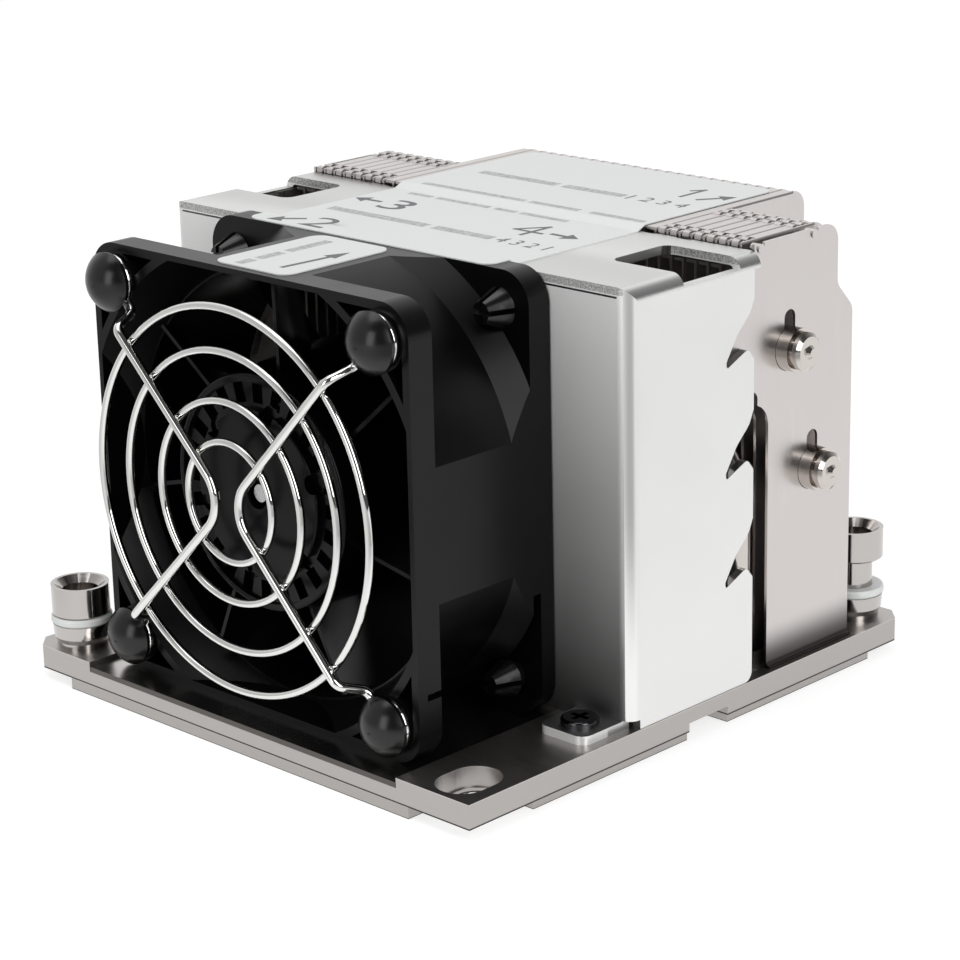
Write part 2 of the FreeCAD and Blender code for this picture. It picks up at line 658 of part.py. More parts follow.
def build_fins():
    pitch, half_count = size("fin_pitch"), size("fin_half_count")
    side_count = size("side_fin_count")
    middle = centre_fin()
    coded("fins_centre", [moved(middle, x=pitch * k - size("fin_thick") / 2)
                          for k in range(-half_count, half_count + 1)])
    for side, word in ((-1, "left"), (1, "right")):
        places = [side * pitch * (half_count + 1 + k) for k in range(side_count)]
        shift = -size("fin_thick") / 2
        coded("fins_%s" % word, [moved(side_fin(side, place_x), x=place_x + shift)
                                 for place_x in places[:-1]])
        coded("end_fin_%s" % word, [moved(part, x=places[-1] + shift)
                                    for part in end_fin(side)])


def build_pipe(tag):
    """Round heat pipe bent to a C: lower leg in the base, upper leg through the fins."""
    side, radius = PIPES[tag], size("pipe_r")
    y, z = pipe_upper(tag)
    low_y, low_z = pipe_lower_y(tag), size("spreader_top")
    out = side * size("pipe_reach")
    far = -side * size("groove_short")
    tip = size("pipe_tip_x") if tag != "c" else -size("pipe_c_end")
    body_end = tip - math.copysign(size("pipe_tip_step"), tip)
    if tag == "c":
        body_end = tip
    points = [Vector(far, low_y, low_z), Vector(out, low_y, low_z), Vector(out, y, z),
              Vector(body_end, y, z)]
    bend = min(size("pipe_bend"), (z - low_z) / 2 - 0.05)
    path = rounded_wire(points, [0, bend, bend, 0], closed=False)
    solid = swept(path, radius).fuse(Part.makeSphere(radius, points[0]))
    if tag != "c":
        way = Vector(math.copysign(1.0, tip), 0, 0)
        step, nib = size("pipe_tip_step"), size("pipe_nib")
        end = Vector(body_end, y, z)
        neck, tip_r = size("pipe_neck"), size("pipe_tip_r")
        solid = solid.fuse([
            Part.makeCylinder(size("pipe_neck_r") - 0.35, neck, end, way),
            Part.makeCylinder(size("pipe_neck_r"), step - neck - 0.4, end + way * neck, way),
            Part.makeCone(size("pipe_neck_r"), tip_r - 0.35, 0.4, end + way * (step - 0.4),
                          way),
            Part.makeCone(size("pipe_nib_r"), size("pipe_nib_r") * 0.6, nib,
                          end + way * step, way)])
    coded("heat_pipe_%s" % tag, [solid.removeSplitter().Solids[0]])


# ------------------------------------------------------------------ shroud
def build_shroud():
    """Steel sheet folded over the fin stack: front, top and two sides in one piece."""
    half, inner, top = "shroud_half", "shroud_inner", "shroud_top"
    front, rear = "shroud_front", "shroud_rear"

    def shell(name, reach, roof, nose, radius, margin):
        """A block with rounded side bends: its plan and its front view in common."""
        plan = new_body(name + "_plan")
        plan_pad = pad(plan, outline(plan, name + "_plan_outline", "XY_Plane", [
            ("-" + reach, nose), (reach, nose), (reach, rear + " + " + margin),
            ("-" + reach, rear + " + " + margin)], "plate_top - " + margin), "90")
        round_edges(plan, plan_pad, radius,
                    lambda at, way: abs(way.z) > 0.9 and at.y < 0)
        view = new_body(name + "_view")
        view_pad = pad(view, outline(view, name + "_view_outline", "XZ_Plane", [
            ("-" + reach, "plate_top - " + margin), (reach, "plate_top - " + margin),
            (reach, roof), ("-" + reach, roof)], "-60"), "120")
        round_edges(view, view_pad, radius,
                    lambda at, way: abs(way.y) > 0.9 and at.z > size("shroud_top") / 2)
        return common(name, plan, view)

    outside = shell("shroud_outside", half, top, front, "bend_r", "0")
    inside = shell("shroud_inside", inner, "(shroud_top - sheet)",
                   "(shroud_front + sheet)", "bend_r - sheet", "1")
    cutters = [inside]
    cutters.append(box("front_seam", "-shroud_half + bend_r", "shroud_front - 1",
                       "shroud_top - sheet - shroud_seam", "2 * (shroud_half - bend_r)",
                       "sheet + 1.5", "shroud_seam"))
    side_trim = "shroud_rear - shroud_side_rear"
    for sign, word in (("", "right"), ("-", "left")):
        x_low = "shroud_inner - 0.5" if sign == "" else "-shroud_half - 0.5"
        cutters.append(box("side_trim_" + word, x_low, "shroud_side_rear", "plate_top - 1",
                           "sheet + 1", side_trim + " + 1", "shroud_top - plate_top - 1"))
        window = new_body("window_" + word)
        inner_x, outer_x = sign + "window_x", sign + "(shroud_half + 1)"
        low_y = "window_y - window_long / 2"
        high_y = "window_y + window_long / 2"
        window_pad = pad(window, outline(
            window, "window_outline_" + word, "XY_Plane",
            [(inner_x, low_y), (outer_x, low_y), (outer_x, high_y), (inner_x, high_y)],
            "shroud_top - window_drop"), "window_drop + 1")
        round_edges(window, window_pad, "window_corner",
                    lambda at, way: abs(way.z) > 0.9 and abs(at.x) < size("window_x") + 1)
        cutters.append(window)
        for across in ("scallop_in", "scallop_out"):
            cutters.append(cylinder("scallop_%s_%s" % (word, across), "scallop_r",
                                    "sheet + 2", sign + across,
                                    "shroud_rear + scallop_r - scallop_deep",
                                    "shroud_top - sheet - 1"))
        relief_x = "foot_x + foot_wide / 2"
        low_x = relief_x if sign == "" else "-shroud_half - 1"
        cutters.append(box("foot_relief_" + word, low_x, "shroud_front - 1",
                           "plate_top - 1", "shroud_half + 1 - (%s)" % relief_x,
                           "bend_r + 1", "foot_relief + 1"))
    duct = cylinder("duct_opening", "duct_r", "sheet + 2", "0", "shroud_front - 1",
                    "fan_axis_z")
    duct.Placement.Rotation = Rotation(Vector(1, 0, 0), -90)
    cutters.append(duct)
    for across in ("-", "+"):
        for up in ("-", "+"):
            hole = cylinder("shroud_rivet_%s%s" % ("lr"[across == "+"], "bt"[up == "+"]),
                            "rivet_hole_r", "sheet + 2", across + "fan_bolt",
                            "shroud_front - 1", "fan_axis_z %s fan_bolt" % up)
            hole.Placement.Rotation = Rotation(Vector(1, 0, 0), -90)
            cutters.append(hole)
    folded = cut("shroud_folded", outside, *cutters)
    feet = []
    for sign, word in (("", "right"), ("-", "left")):
        foot = new_body("foot_" + word)
        foot_pad = pad(foot, outline(foot, "foot_outline_" + word, "XY_Plane", [
            (sign + "foot_x - foot_wide / 2", "shroud_front - foot_long"),
            (sign + "foot_x + foot_wide / 2", "shroud_front - foot_long"),
            (sign + "foot_x + foot_wide / 2", "shroud_front + sheet"),
            (sign + "foot_x - foot_wide / 2", "shroud_front + sheet")],
            "plate_top"), "sheet")
        round_edges(foot, foot_pad, "foot_corner",
                    lambda at, way: abs(way.z) > 0.9 and at.y < size("shroud_front") - 1)
        feet.append(cut("foot_drilled_" + word, foot,
                        cylinder("foot_hole_" + word, "screw_r + 0.15", "sheet + 2",
                                 sign + "foot_x", "screw_y", "plate_top - 1")))
    whole = fuse("shroud_whole", folded, *feet)
    doc.recompute()
    coded("shroud", [hooked_sides(whole.Shape)])


HOOK_CUT = [(4.55, -0.1, 0.3), (8.9, 1.75, 0.8), (10.15, 0.2, 0.5), (12.0, 0.2, 0.0),
            (12.0, 8.35, 0.0), (10.1, 8.3, 0.0), (9.3, 6.5, 3.0), (6.7, 4.1, 3.0),
            (4.5, 0.8, 0.3)]
HOOK_FLAP = [(4.7, 0.5), (6.7, 4.1), (7.1, 1.3)]


def hooked_sides(shape):
    """Three lanced openings in each side's rear edge; a flap where no fin lies behind."""
    half, thick, rear = size("shroud_half"), size("sheet"), size("shroud_side_rear")
    corner, low = size("side_corner"), size("plate_top")
    cutters, flaps = [], []
    for side in (-1, 1):
        outer = side * half
        inward = Vector(-side * thick, 0, 0)
        for index in (-1, 0, 1):
            level = size("hook_mid") + index * size("hook_pitch")
            ring = rounded_wire([Vector(outer + side, y, level + z) for y, z, _ in HOOK_CUT],
                                [radius for _, _, radius in HOOK_CUT])
            cutters.append(Part.Face(ring).extrude(inward - Vector(2 * side, 0, 0)))
            if level > size("end_fin_ledge"):
                continue
            depths = (0.0, 0.0, size("flap_depth"))
            flap = [Vector(outer - side * depth, y, level + z)
                    for depth, (y, z) in zip(depths, HOOK_FLAP)]
            flaps.append(Part.Face(Part.makePolygon(flap + flap[:1])).extrude(inward))
        block = Part.makeBox(thick + 2, corner, corner,
                             Vector(outer - thick / 2 - (thick + 2) / 2, rear - corner, low))
        cutters.append(block.cut(Part.makeCylinder(
            corner, thick + 4, Vector(outer - thick / 2 - (thick + 4) / 2, rear - corner,
                                      low + corner), Vector(1, 0, 0))))
    return shape.cut(cutters).fuse(flaps).removeSplitter().Solids[0]


def build_foot_screws():
    """Two black pan head screws with a cross recess."""
    head_r, head, shank_r = size("screw_head_r"), size("screw_head"), size("screw_tap_r")
    base = size("plate_top") + size("sheet")
    solids = []
    for side in (-1, 1):
        foot = Vector(side * size("foot_x"), size("screw_y"), base)
        dome = Part.makeCylinder(head_r, head, foot)
        rim = [edge for edge in dome.Edges
               if abs(edge.CenterOfMass.z - base - head) < 1e-3
               and edge.Curve.TypeId == "Part::GeomCircle"]
        dome = dome.makeFillet(head * 0.45, rim)
        shank = Part.makeCylinder(shank_r, size("plate_thick") + size("sheet") - 0.4,
                                  foot - Vector(0, 0, size("plate_thick")
                                                + size("sheet") - 0.4))
        arms = [Part.makeBox(2.8, 0.7, head, foot + Vector(-1.4, -0.35, head * 0.35)),
                Part.makeBox(0.7, 2.8, head, foot + Vector(-0.35, -1.4, head * 0.35))]
        solids.append(dome.fuse(shank).cut(arms).removeSplitter().Solids[0])
    coded("foot_screws", solids)


# ------------------------------------------------------------------ fan
def put_in_fan(feature):
    """Fan pieces are drawn with their axis up, from the intake face at 0 rearward."""
    feature.Placement.Rotation = Rotation(Vector(1, 0, 0), -90)
    return place(feature, "0", "fan_front_y", "fan_axis_z")


def fan_square(name, half, level, height, corner):
    body = new_body(name)
    square = pad(body, outline(body, name + "_outline", "XY_Plane", [
        ("-" + half, "-" + half), (half, "-" + half), (half, half), ("-" + half, half)],
        level), height)
    if corner:
        round_edges(body, square, corner, lambda at, way: abs(way.z) > 0.9)
    return body


def build_fan_housing():
    """One moulding: two flanges, the duct between them, motor base and its struts."""
    half = "(fan_size / 2)"
    envelope = fan_square("fan_envelope", half, "0", "fan_depth", "fan_corner")
    barrel = cylinder("fan_barrel", "barrel_r", "fan_depth")
    flare = cone("fan_flare", "barrel_r", "flare_r", "flare_long",
                 "fan_depth - rear_flange - flare_long")
    front = fan_square("fan_front_flange", half, "0", "front_flange", "fan_corner")
    rear = fan_square("fan_rear_flange", half, "fan_depth - rear_flange",
                      "rear_flange", "fan_corner")
    trunk = common("fan_trunk", fuse("fan_tube", barrel, flare), envelope)
    solid = fuse("fan_solid", trunk, front, rear)
    cutters = [cylinder("duct_bore", "duct_r", "fan_depth + 2", "0", "0", "-1")]
    inlet_square = fan_square("inlet_square", "inlet_flat", "-0.5", "inlet_deep", "")
    inlet_cone = cone("inlet_cone", "inlet_r + 0.5 * (inlet_r - duct_r) / inlet_deep",
                      "duct_r", "inlet_deep + 0.5", "-0.5")
    cutters.append(common("inlet", inlet_square, inlet_cone))
    pocket_square = fan_square("pocket_square", "(fan_size / 2 - pocket_rim)", "-1",
                               "pocket_deep + 1", "fan_corner - pocket_rim")
    keep = [cylinder("pocket_core", "pocket_r", "fan_depth", "0", "0", "-5")]
    for index, (across, up) in enumerate((("", ""), ("", "-"), ("-", ""), ("-", "-"))):
        x, y = across + "fan_bolt", up + "fan_bolt"
        keep.append(cylinder("pocket_boss_%d" % index, "boss_r", "fan_depth", x, y, "-5"))
        cutters.append(cylinder("flange_hole_%d" % index, "rivet_hole_r",
                                "fan_depth + 2", x, y, "-1"))
        cutters.append(cylinder("flare_relief_%d" % index, "rivet_bulge_r + 0.3",
                                "flare_long + 0.5", x, y,
                                "fan_depth - rear_flange - flare_long - 0.5"))
    cutters.append(cut("corner_pockets", pocket_square, *keep))
    cutters.append(box("cable_exit", "fan_size / 2 - 7", "cable_low",
                       "fan_depth - rear_flange - 0.01", "8", "cable_high - cable_low",
                       "cable_deep"))
    cutters.append(box("cable_hook", "fan_size / 2 - 1.3", "hook_notch_y",
                       "front_flange - 2.4", "2", "hook_notch", "3"))
    shell = cut("fan_shell", solid, *cutters)
    motor_base = cylinder("motor_base", "base_r", "base_thick", "0", "0", "base_front")
    tube = cylinder("bearing_tube", "tube_r", "base_front - tube_front + 1", "0", "0",
                    "tube_front")
    struts = []
    for index in range(size("strut_count")):
        strut = box("strut_%d" % index, "base_r - 1", "-strut_wide / 2",
                    "fan_depth - strut_deep", "duct_r + 2 - base_r", "strut_wide",
                    "strut_deep")
        turn = 360.0 / size("strut_count") * (index + 0.5)
        carrier = Placement(Vector(0, 0, 0), Rotation(Vector(0, 0, 1), turn))
        holder = doc.addObject("Part::Compound", "strut_turned_%d" % index)
        holder.Links = [strut]
        holder.Placement = carrier
        struts.append(holder)
    whole = fuse("fan_moulding", shell, motor_base, tube, *struts)
    bored = cut("fan_bored", whole,
                cylinder("tube_bore", "bearing_r + bearing_fit", "fan_depth", "0", "0",
                         "tube_front - 1"))
    put_in_fan(node(bored, "fan_housing"))


def blade_section(radius, spread):
    """Curved blade section at one radius: two arcs and two blunt ends."""
    front, rear = size("blade_front"), size("blade_rear")
    lean, bow = size("blade_lean") * spread, size("blade_bow") * spread
    thick = size("blade_thick")

    def at(side, part):
        """A point on one face, part of the way from the leading to the trailing edge."""
        swell = thick / 2 * side * (0.45 + 2.2 * part * (1 - part))
        across = lean * (1 - 2 * part) + bow * 4 * part * (1 - part) + swell
        return Vector(radius, across, front + (rear - front) * part)

    face_a = Part.Arc(at(1, 0.0), at(1, 0.5), at(1, 1.0)).toShape()
    face_b = Part.Arc(at(-1, 1.0), at(-1, 0.5), at(-1, 0.0)).toShape()
    return Part.Wire([face_a, Part.LineSegment(at(1, 1.0), at(-1, 1.0)).toShape(),
                      face_b, Part.LineSegment(at(-1, 0.0), at(1, 0.0)).toShape()])


def build_impeller():
    """Hub cup with its swept blades, moulded in one piece round the steel yoke."""
    hub_r, rear_r = size("hub_r"), size("hub_rear_r")
    front, rear = size("hub_front"), size("hub_rear")
    cap, wall = size("hub_cap"), size("hub_wall")
    tip = size("blade_tip_r")
    outer = Part.makeCone(hub_r, rear_r, rear - front, Vector(0, 0, front))
    rim = [edge for edge in outer.Edges if abs(edge.CenterOfMass.z - front) < 1e-3]
    outer = outer.makeFillet(size("hub_round"), rim)
    cavity = Part.makeCylinder(size("yoke_r"), rear, Vector(0, 0, front + cap))
    sections = [blade_section(radius, spread) for radius, spread in
                ((hub_r - wall * 0.4, 0.72), ((hub_r + tip) / 2, 0.9), (tip + 2.5, 1.12))]
    blade = Part.makeLoft(sections, True, False)
    blade = blade.common(Part.makeCylinder(tip, size("fan_depth")))
    turn = 360.0 / size("blade_count")
    blades = [moved(blade, turn=turn * k) for k in range(size("blade_count"))]
    disc = Part.makeCylinder(size("disc_r"), size("disc_high") + size("vent_floor") + 0.1,
                             Vector(0, 0, front - size("disc_high")))
    disc = disc.makeFillet(0.25, [edge for edge in disc.Edges if abs(
        edge.CenterOfMass.z - front + size("disc_high")) < 1e-3])
    inner_r, outer_r = size("slot_in_r"), size("slot_out_r")
    trench = Part.makeCylinder(outer_r + 0.15, size("vent_floor") + 1,
                               Vector(0, 0, front - 1))
    trench = trench.cut(Part.makeCylinder(size("disc_r") - 0.5, size("vent_floor") + 1,
                                          Vector(0, 0, front - 1)))
    solid = outer.cut(trench).fuse(blades + [disc]).cut(cavity)
    deep = size("slot_face_deep")
    face = front - size("disc_high")
    cutters = [Part.makeCylinder(size("shaft_r"), rear, Vector(0, 0, face)),
               Part.makeCylinder(size("tip_recess_r"), size("tip_recess"),
                                 Vector(0, 0, face))]
    for k in range(size("slot_count")):
        bar = Part.makeBox(outer_r - inner_r, size("slot_face_wide"), deep + 1,
                           Vector(inner_r, -size("slot_face_wide") / 2, front - 1))
        cutters.append(moved(bar, turn=360.0 / size("slot_count") * k))
    for k in range(size("dimple_count")):
        dimple = Part.makeCylinder(size("dimple_r"), size("dimple_deep") + 1,
                                   Vector(size("dimple_ring_r"), 0, front - 1))
        cutters.append(moved(dimple, turn=360.0 / size("dimple_count") * k
                             + size("dimple_turn")))
    put_in_fan(coded("impeller", [solid.cut(cutters).removeSplitter().Solids[0]]))


def build_motor():
    """Yoke, magnet and shaft turn with the impeller; the rest stays in the housing."""
    cap_z = "hub_front + hub_cap"
    put_in_fan(node(turned("yoke_body", [
        ("shaft_r", cap_z), ("yoke_r", cap_z), ("yoke_r", "hub_rear - 0.4"),
        ("magnet_r", "hub_rear - 0.4"), ("magnet_r", cap_z + " + yoke_wall"),
        ("shaft_r", cap_z + " + yoke_wall")]), "rotor_yoke"))
    magnet = cut("magnet_cut",
                 cylinder("magnet_blank", "magnet_r",
                          "hub_rear - 1 - hub_front - hub_cap - yoke_wall - 1.2",
                          "0", "0", "hub_front + hub_cap + yoke_wall + 1.2"),
                 cylinder("magnet_bore", "magnet_r - magnet_thick", "fan_depth"))
    put_in_fan(node(magnet, "rotor_magnet"))
    tip_z = "hub_front - disc_high + tip_sink"
    put_in_fan(node(turned("shaft_body", [
        ("0", tip_z), ("shaft_r - tip_chamfer", tip_z),
        ("shaft_r", tip_z + " + tip_chamfer"), ("shaft_r", "shaft_rear"),
        ("0", "shaft_rear")]), "fan_shaft"))
    for word, level in (("front", "tube_front + 0.4"),
                        ("rear", "shaft_rear - clip_thick - 0.5 - bearing_long - 0.1")):
        race = cut("bearing_%s_cut" % word,
                   cylinder("bearing_%s_ring" % word, "bearing_r", "bearing_long",
                            "0", "0", level),
                   cylinder("bearing_%s_bore" % word, "shaft_r + bearing_fit",
                            "fan_depth"))
        put_in_fan(node(race, "bearing_" + word))
    clip = cut("clip_cut",
               cylinder("clip_disc", "clip_r", "clip_thick", "0", "0",
                        "shaft_rear - clip_thick - 0.5"),
               cylinder("clip_hole", "shaft_r", "fan_depth + 5"))
    put_in_fan(node(clip, "shaft_clip"))
    board = cut("board_cut",
                cylinder("board_disc", "base_r - 1.2", "board_thick", "0", "0",
                         "base_front - board_thick"),
                cylinder("board_hole", "tube_r + 0.05", "fan_depth"))
    put_in_fan(node(board, "motor_board"))
    core_r, tube_r = size("core_r"), size("tube_r") + 0.05
    low, high = size("core_front"), size("core_rear")
    yoke_ring = Part.makeCylinder(tube_r + 1.8, high - low, Vector(0, 0, low))
    poles = []
    coils = []
    for k in range(size("pole_count")):
        turn = 360.0 / size("pole_count") * k
        stem = Part.makeBox(core_r, 2.4, high - low, Vector(0, -1.2, low))
        shoe = Part.makeCylinder(core_r, high - low, Vector(0, 0, low), Vector(0, 0, 1),
                                 62.0)
        shoe.Placement = Placement(Vector(0, 0, 0), Rotation(Vector(0, 0, 1), -31.0))
        shoe = shoe.cut(Part.makeCylinder(core_r - 1.1, high, Vector(0, 0, low - 1)))
        poles += [moved(stem, turn=turn), moved(shoe, turn=turn)]
        inner_x, outer_x = tube_r + 2.0, core_r - 1.8
        coil = Part.makeBox(outer_x - inner_x, 5.4, high - low + 2.4,
                            Vector(inner_x, -2.7, low - 1.2))
        coil = coil.cut(Part.makeBox(core_r, 2.6, high - low + 0.2,
                                     Vector(0, -1.3, low - 0.1)))
        coils.append(moved(coil, turn=turn))
    disc = Part.makeCylinder(core_r, high - low, Vector(0, 0, low))
    bore = Part.makeCylinder(tube_r, high, Vector(0, 0, low - 1))
    core = yoke_ring.fuse(poles).common(disc).cut(bore).removeSplitter()
    put_in_fan(coded("stator_core", [core.Solids[0]]))
    put_in_fan(coded("stator_coils", coils))


# ------------------------------------------------------------------ rivets and guard
def corner_points():
    reach = size("fan_bolt")
    return [Vector(x * reach, y * reach, 0) for x in (-1, 1) for y in (-1, 1)]


def build_rivets():
    """Black push rivets: domed heads in front, split legs behind each flange."""
    shank, bulge = size("rivet_shank_r"), size("rivet_bulge_r")
    head, rim = size("rivet_head"), size("rivet_rim")
    slot_wide = 0.7

    def rivet(head_r, grip, tail):
        """Head below 0, legs that spread behind a grip of the given length."""
        sag = head - rim
        ball = (head_r ** 2 + sag ** 2) / (2 * sag)
        dome = Part.makeSphere(ball, Vector(0, 0, -head + ball))
        dome = dome.common(Part.makeCylinder(head_r, head, Vector(0, 0, -head)))
        stem = Part.makeCylinder(shank, grip + 0.5, Vector(0, 0, -0.2))
        barb = Part.makeCone(bulge, shank * 0.7, tail, Vector(0, 0, grip))
        split = [Part.makeBox(2 * bulge + 2, slot_wide, tail + 2,
                              Vector(-bulge - 1, -slot_wide / 2, grip - 0.5)),
                 Part.makeBox(slot_wide, 2 * bulge + 2, tail + 2,
                              Vector(-slot_wide / 2, -bulge - 1, grip - 0.5))]
        core = Part.makeCylinder(shank * 0.45, grip + tail - 0.6, Vector(0, 0, 0))
        return dome.fuse([stem, barb]).cut(split).fuse(core).removeSplitter().Solids[0]

    lift = 2 * size("spoke_wire_r")
    front = rivet(size("rivet_head_r"), size("front_flange") + lift + 0.1,
                  size("rivet_tail"))
    put_in_fan(coded("front_rivets", [moved(front, at.x, at.y, -lift)
                                      for at in corner_points()]))
    wall = size("fan_gap") + size("sheet")
    back = rivet(size("rear_rivet_head_r"), wall + size("rear_flange") + 0.1,
                 size("rear_rivet_tail"))
    solids = []
    for at in corner_points():
        copy = back.copy()
        copy.Placement = Placement(Vector(at.x, at.y, size("fan_depth") + wall),
                                   Rotation(Vector(1, 0, 0), 180))
        solids.append(copy)
    put_in_fan(coded("rear_rivets", solids))


def build_guard():
    """Welded wire guard: four rings and two bent spokes with eyes under the rivets."""
    wire, spoke = size("ring_wire_r"), size("spoke_wire_r")
    plane = -size("guard_plane")
    rings = [Part.makeTorus(size("ring_%d_r" % k), wire, Vector(0, 0, plane))
             for k in (1, 2, 3, 4)]
    front = plane - wire - spoke + 0.15
    bolt, eye = size("fan_bolt"), size("eye_r")
    seat = -spoke
    solids = []
    for side, vertex_x in ((-1, size("spoke_left")), (1, size("spoke_right"))):
        vertex = Vector(vertex_x, 0, front)
        path_points = []
        for up in (-1, 1):
            corner = Vector(side * bolt, up * bolt, 0)
            run = Vector(corner.x - vertex.x, corner.y - vertex.y, 0).normalize()
            knee = vertex + run * (size("ring_4_r") + size("spoke_knee")
                                   - side * vertex_x * 0.7)
            at_seat = Vector(corner.x, corner.y, seat)
            land = at_seat - run * (size("rivet_head_r") + size("spoke_seat"))
            path_points.append((knee, land, at_seat - run * eye))
        (knee_a, land_a, end_a), (knee_b, land_b, end_b) = path_points
        points = [end_a, land_a, knee_a, vertex, knee_b, land_b, end_b]
        turn_r = size("spoke_turn")
        radii = [0.0, turn_r, turn_r, size("spoke_round"), turn_r, turn_r, 0.0]
        solids.append(swept(rounded_wire(points, radii, closed=False), spoke))
        for up in (-1, 1):
            solids.append(Part.makeTorus(eye, spoke, Vector(side * bolt, up * bolt, seat)))
    whole = rings[0].fuse(rings[1:] + solids).removeSplitter()
    put_in_fan(coded("finger_guard", [whole.Solids[0]]))


# ------------------------------------------------------------------ captive nuts
def build_nuts():
    roof = "washer_z - collar_roof"
    for tag, (x, y) in NUT_PLACES.items():
        lift = "nut_lift" if tag == RAISED_NUT else "0"
        flats = turned("nut_body_%d" % tag, [
            ("tap_r", "neck_low_z"), ("neck_r", "neck_low_z"), ("neck_r", "ring_low_z"),
            ("ring_groove_r", "ring_low_z"), ("ring_groove_r", "ring_low_z + ring_thick"),
            ("neck_r", "ring_low_z + ring_thick"), ("neck_r", "head_z"),
            ("head_r - head_chamfer", "head_z"), ("head_r", "head_z + head_chamfer"),
            ("head_r", "head_z + head_tall"), ("head_mouth_r", "head_z + head_tall"),
            ("socket_r", "head_z + socket_deep"), ("socket_r", "head_z + 0.9"),
            ("0", "head_z + 0.9"), ("0", "neck_low_z + tap_deep"),
            ("tap_r", "neck_low_z + tap_deep")])
        place(node(flats, "captive_nut_%d" % tag), x, y, lift)
        ring = turned("ring_body_%d" % tag, [
            ("ring_groove_r + neck_fit", "ring_low_z + 0.03"),
            ("ring_r", "ring_low_z + 0.03"),
            ("ring_r", "ring_low_z + ring_thick - 0.03"),
            ("ring_groove_r + neck_fit", "ring_low_z + ring_thick - 0.03")])
        place(node(ring, "nut_ring_%d" % tag), x, y, lift)
    collars, washers = [], []
    for tag, (x, y) in NUT_PLACES.items():
        collar = turned("collar_body_%d" % tag, [
            ("collar_bore_r", "step_thick + side_notch"),
            ("spigot_r", "step_thick + side_notch"), ("spigot_r", "plate_top"),
            ("collar_waist_r", "plate_top"),
            ("collar_waist_r", "plate_top + collar_lip / 2"),
            ("collar_r - 0.15", "plate_top + collar_lip"), ("collar_r", "washer_z"),
            ("neck_r + neck_fit", "washer_z"), ("neck_r + neck_fit", roof),
            ("collar_bore_r", roof)])
        collars.append(place(collar, x, y))
        washer = turned("washer_body_%d" % tag, [
            ("neck_r + neck_fit", "washer_z"), ("washer_r - washer_edge", "washer_z"),
            ("washer_r", "washer_z + washer_edge"), ("washer_r", "head_z - washer_edge"),
            ("washer_r - washer_edge / 2", "head_z"), ("neck_r + neck_fit", "head_z")])
        washers.append(place(washer, x, y))
    doc.recompute()
    for label, bodies in (("nut_collars", collars), ("nut_washers", washers)):
        group = doc.addObject("Part::Compound", label + "_group")
        group.Links = bodies
        node(group, label)


# ------------------------------------------------------------------ labels
def build_labels():
    """Thin printed films, left without any words."""
    thick, top, fin_top = size("label_thick"), size("shroud_top"), size("fin_top")
    half, edge = size("label_x") / 2, size("shroud_rear")
    ramp, bridge = size("label_ramp"), size("label_bridge")
    fan_top = size("fan_bottom") + size("fan_size")
    fan_rear = size("shroud_front") - size("fan_gap")
    # Each ramp lies over the lower of the two parts that it joins.
    front = fan_rear + (bridge if fan_top > top else -bridge - ramp)
    rear = edge - ramp if fin_top > top else edge + size("fin_shroud_gap")
    rear_run = ramp + size("fin_shroud_gap")
    lower = [Vector(-half, fan_rear - size("label_lap"), fan_top),
             Vector(-half, front, fan_top),
             Vector(-half, front + ramp, top),
             Vector(-half, rear, top),
             Vector(-half, rear + rear_run, fin_top),
             Vector(-half, size("label_rear"), fin_top)]
    upper = [point + Vector(0, 0, thick) for point in reversed(lower)]
    wire = Part.makePolygon(lower + upper + [lower[0]])
    film = Part.Face(wire).extrude(Vector(2 * half, 0, 0))
    corners = [edge_ for edge_ in film.Edges if edge_.Length < 2 * thick]
    coded("top_label", [film.makeFillet(size("label_corner"), corners)])
    wide, long = size("fan_label_x"), size("fan_label_y")
    start = size("fan_front_y") + size("fan_label_from")
    plate = Part.makeBox(wide, long, thick,
                         Vector(-wide / 2, start, size("fan_bottom") + size("fan_size")))
    corners = [edge_ for edge_ in plate.Edges if edge_.Length < 2 * thick]
    coded("fan_label", [plate.makeFillet(size("label_corner"), corners)])


# ------------------------------------------------------------------ build and write
build_cold_plate()
build_base_plate()
build_shelf()
build_spreader()
build_fins()
for pipe in PIPES:
    build_pipe(pipe)
build_shroud()
build_foot_screws()
build_fan_housing()
build_impeller()
build_motor()
build_rivets()
build_guard()
build_nuts()
build_labels()
doc.recompute()

for item in doc.Objects:
    if "Invalid" in item.State or "Error" in item.State:
        raise RuntimeError("%s (%s) did not build: %s" % (item.Name, item.Label, item.State))
for label, feature in NODES.items():
    shape = feature.Shape
    if shape.isNull() or not shape.isValid() or not shape.Solids:
        raise RuntimeError("%s has no valid shape" % label)
    if any(solid.Volume <= 0 for solid in shape.Solids):
        raise RuntimeError("%s has a solid with no volume" % label)
    shape.exportStep("parts/%s.step" % label)
print("%d sub-parts written" % len(NODES))
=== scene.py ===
"""Looks of a low server CPU cooler: plated metals, black fan, wire guard and labels."""
import math

import bmesh
import bpy
from mathutils import Matrix, Vector


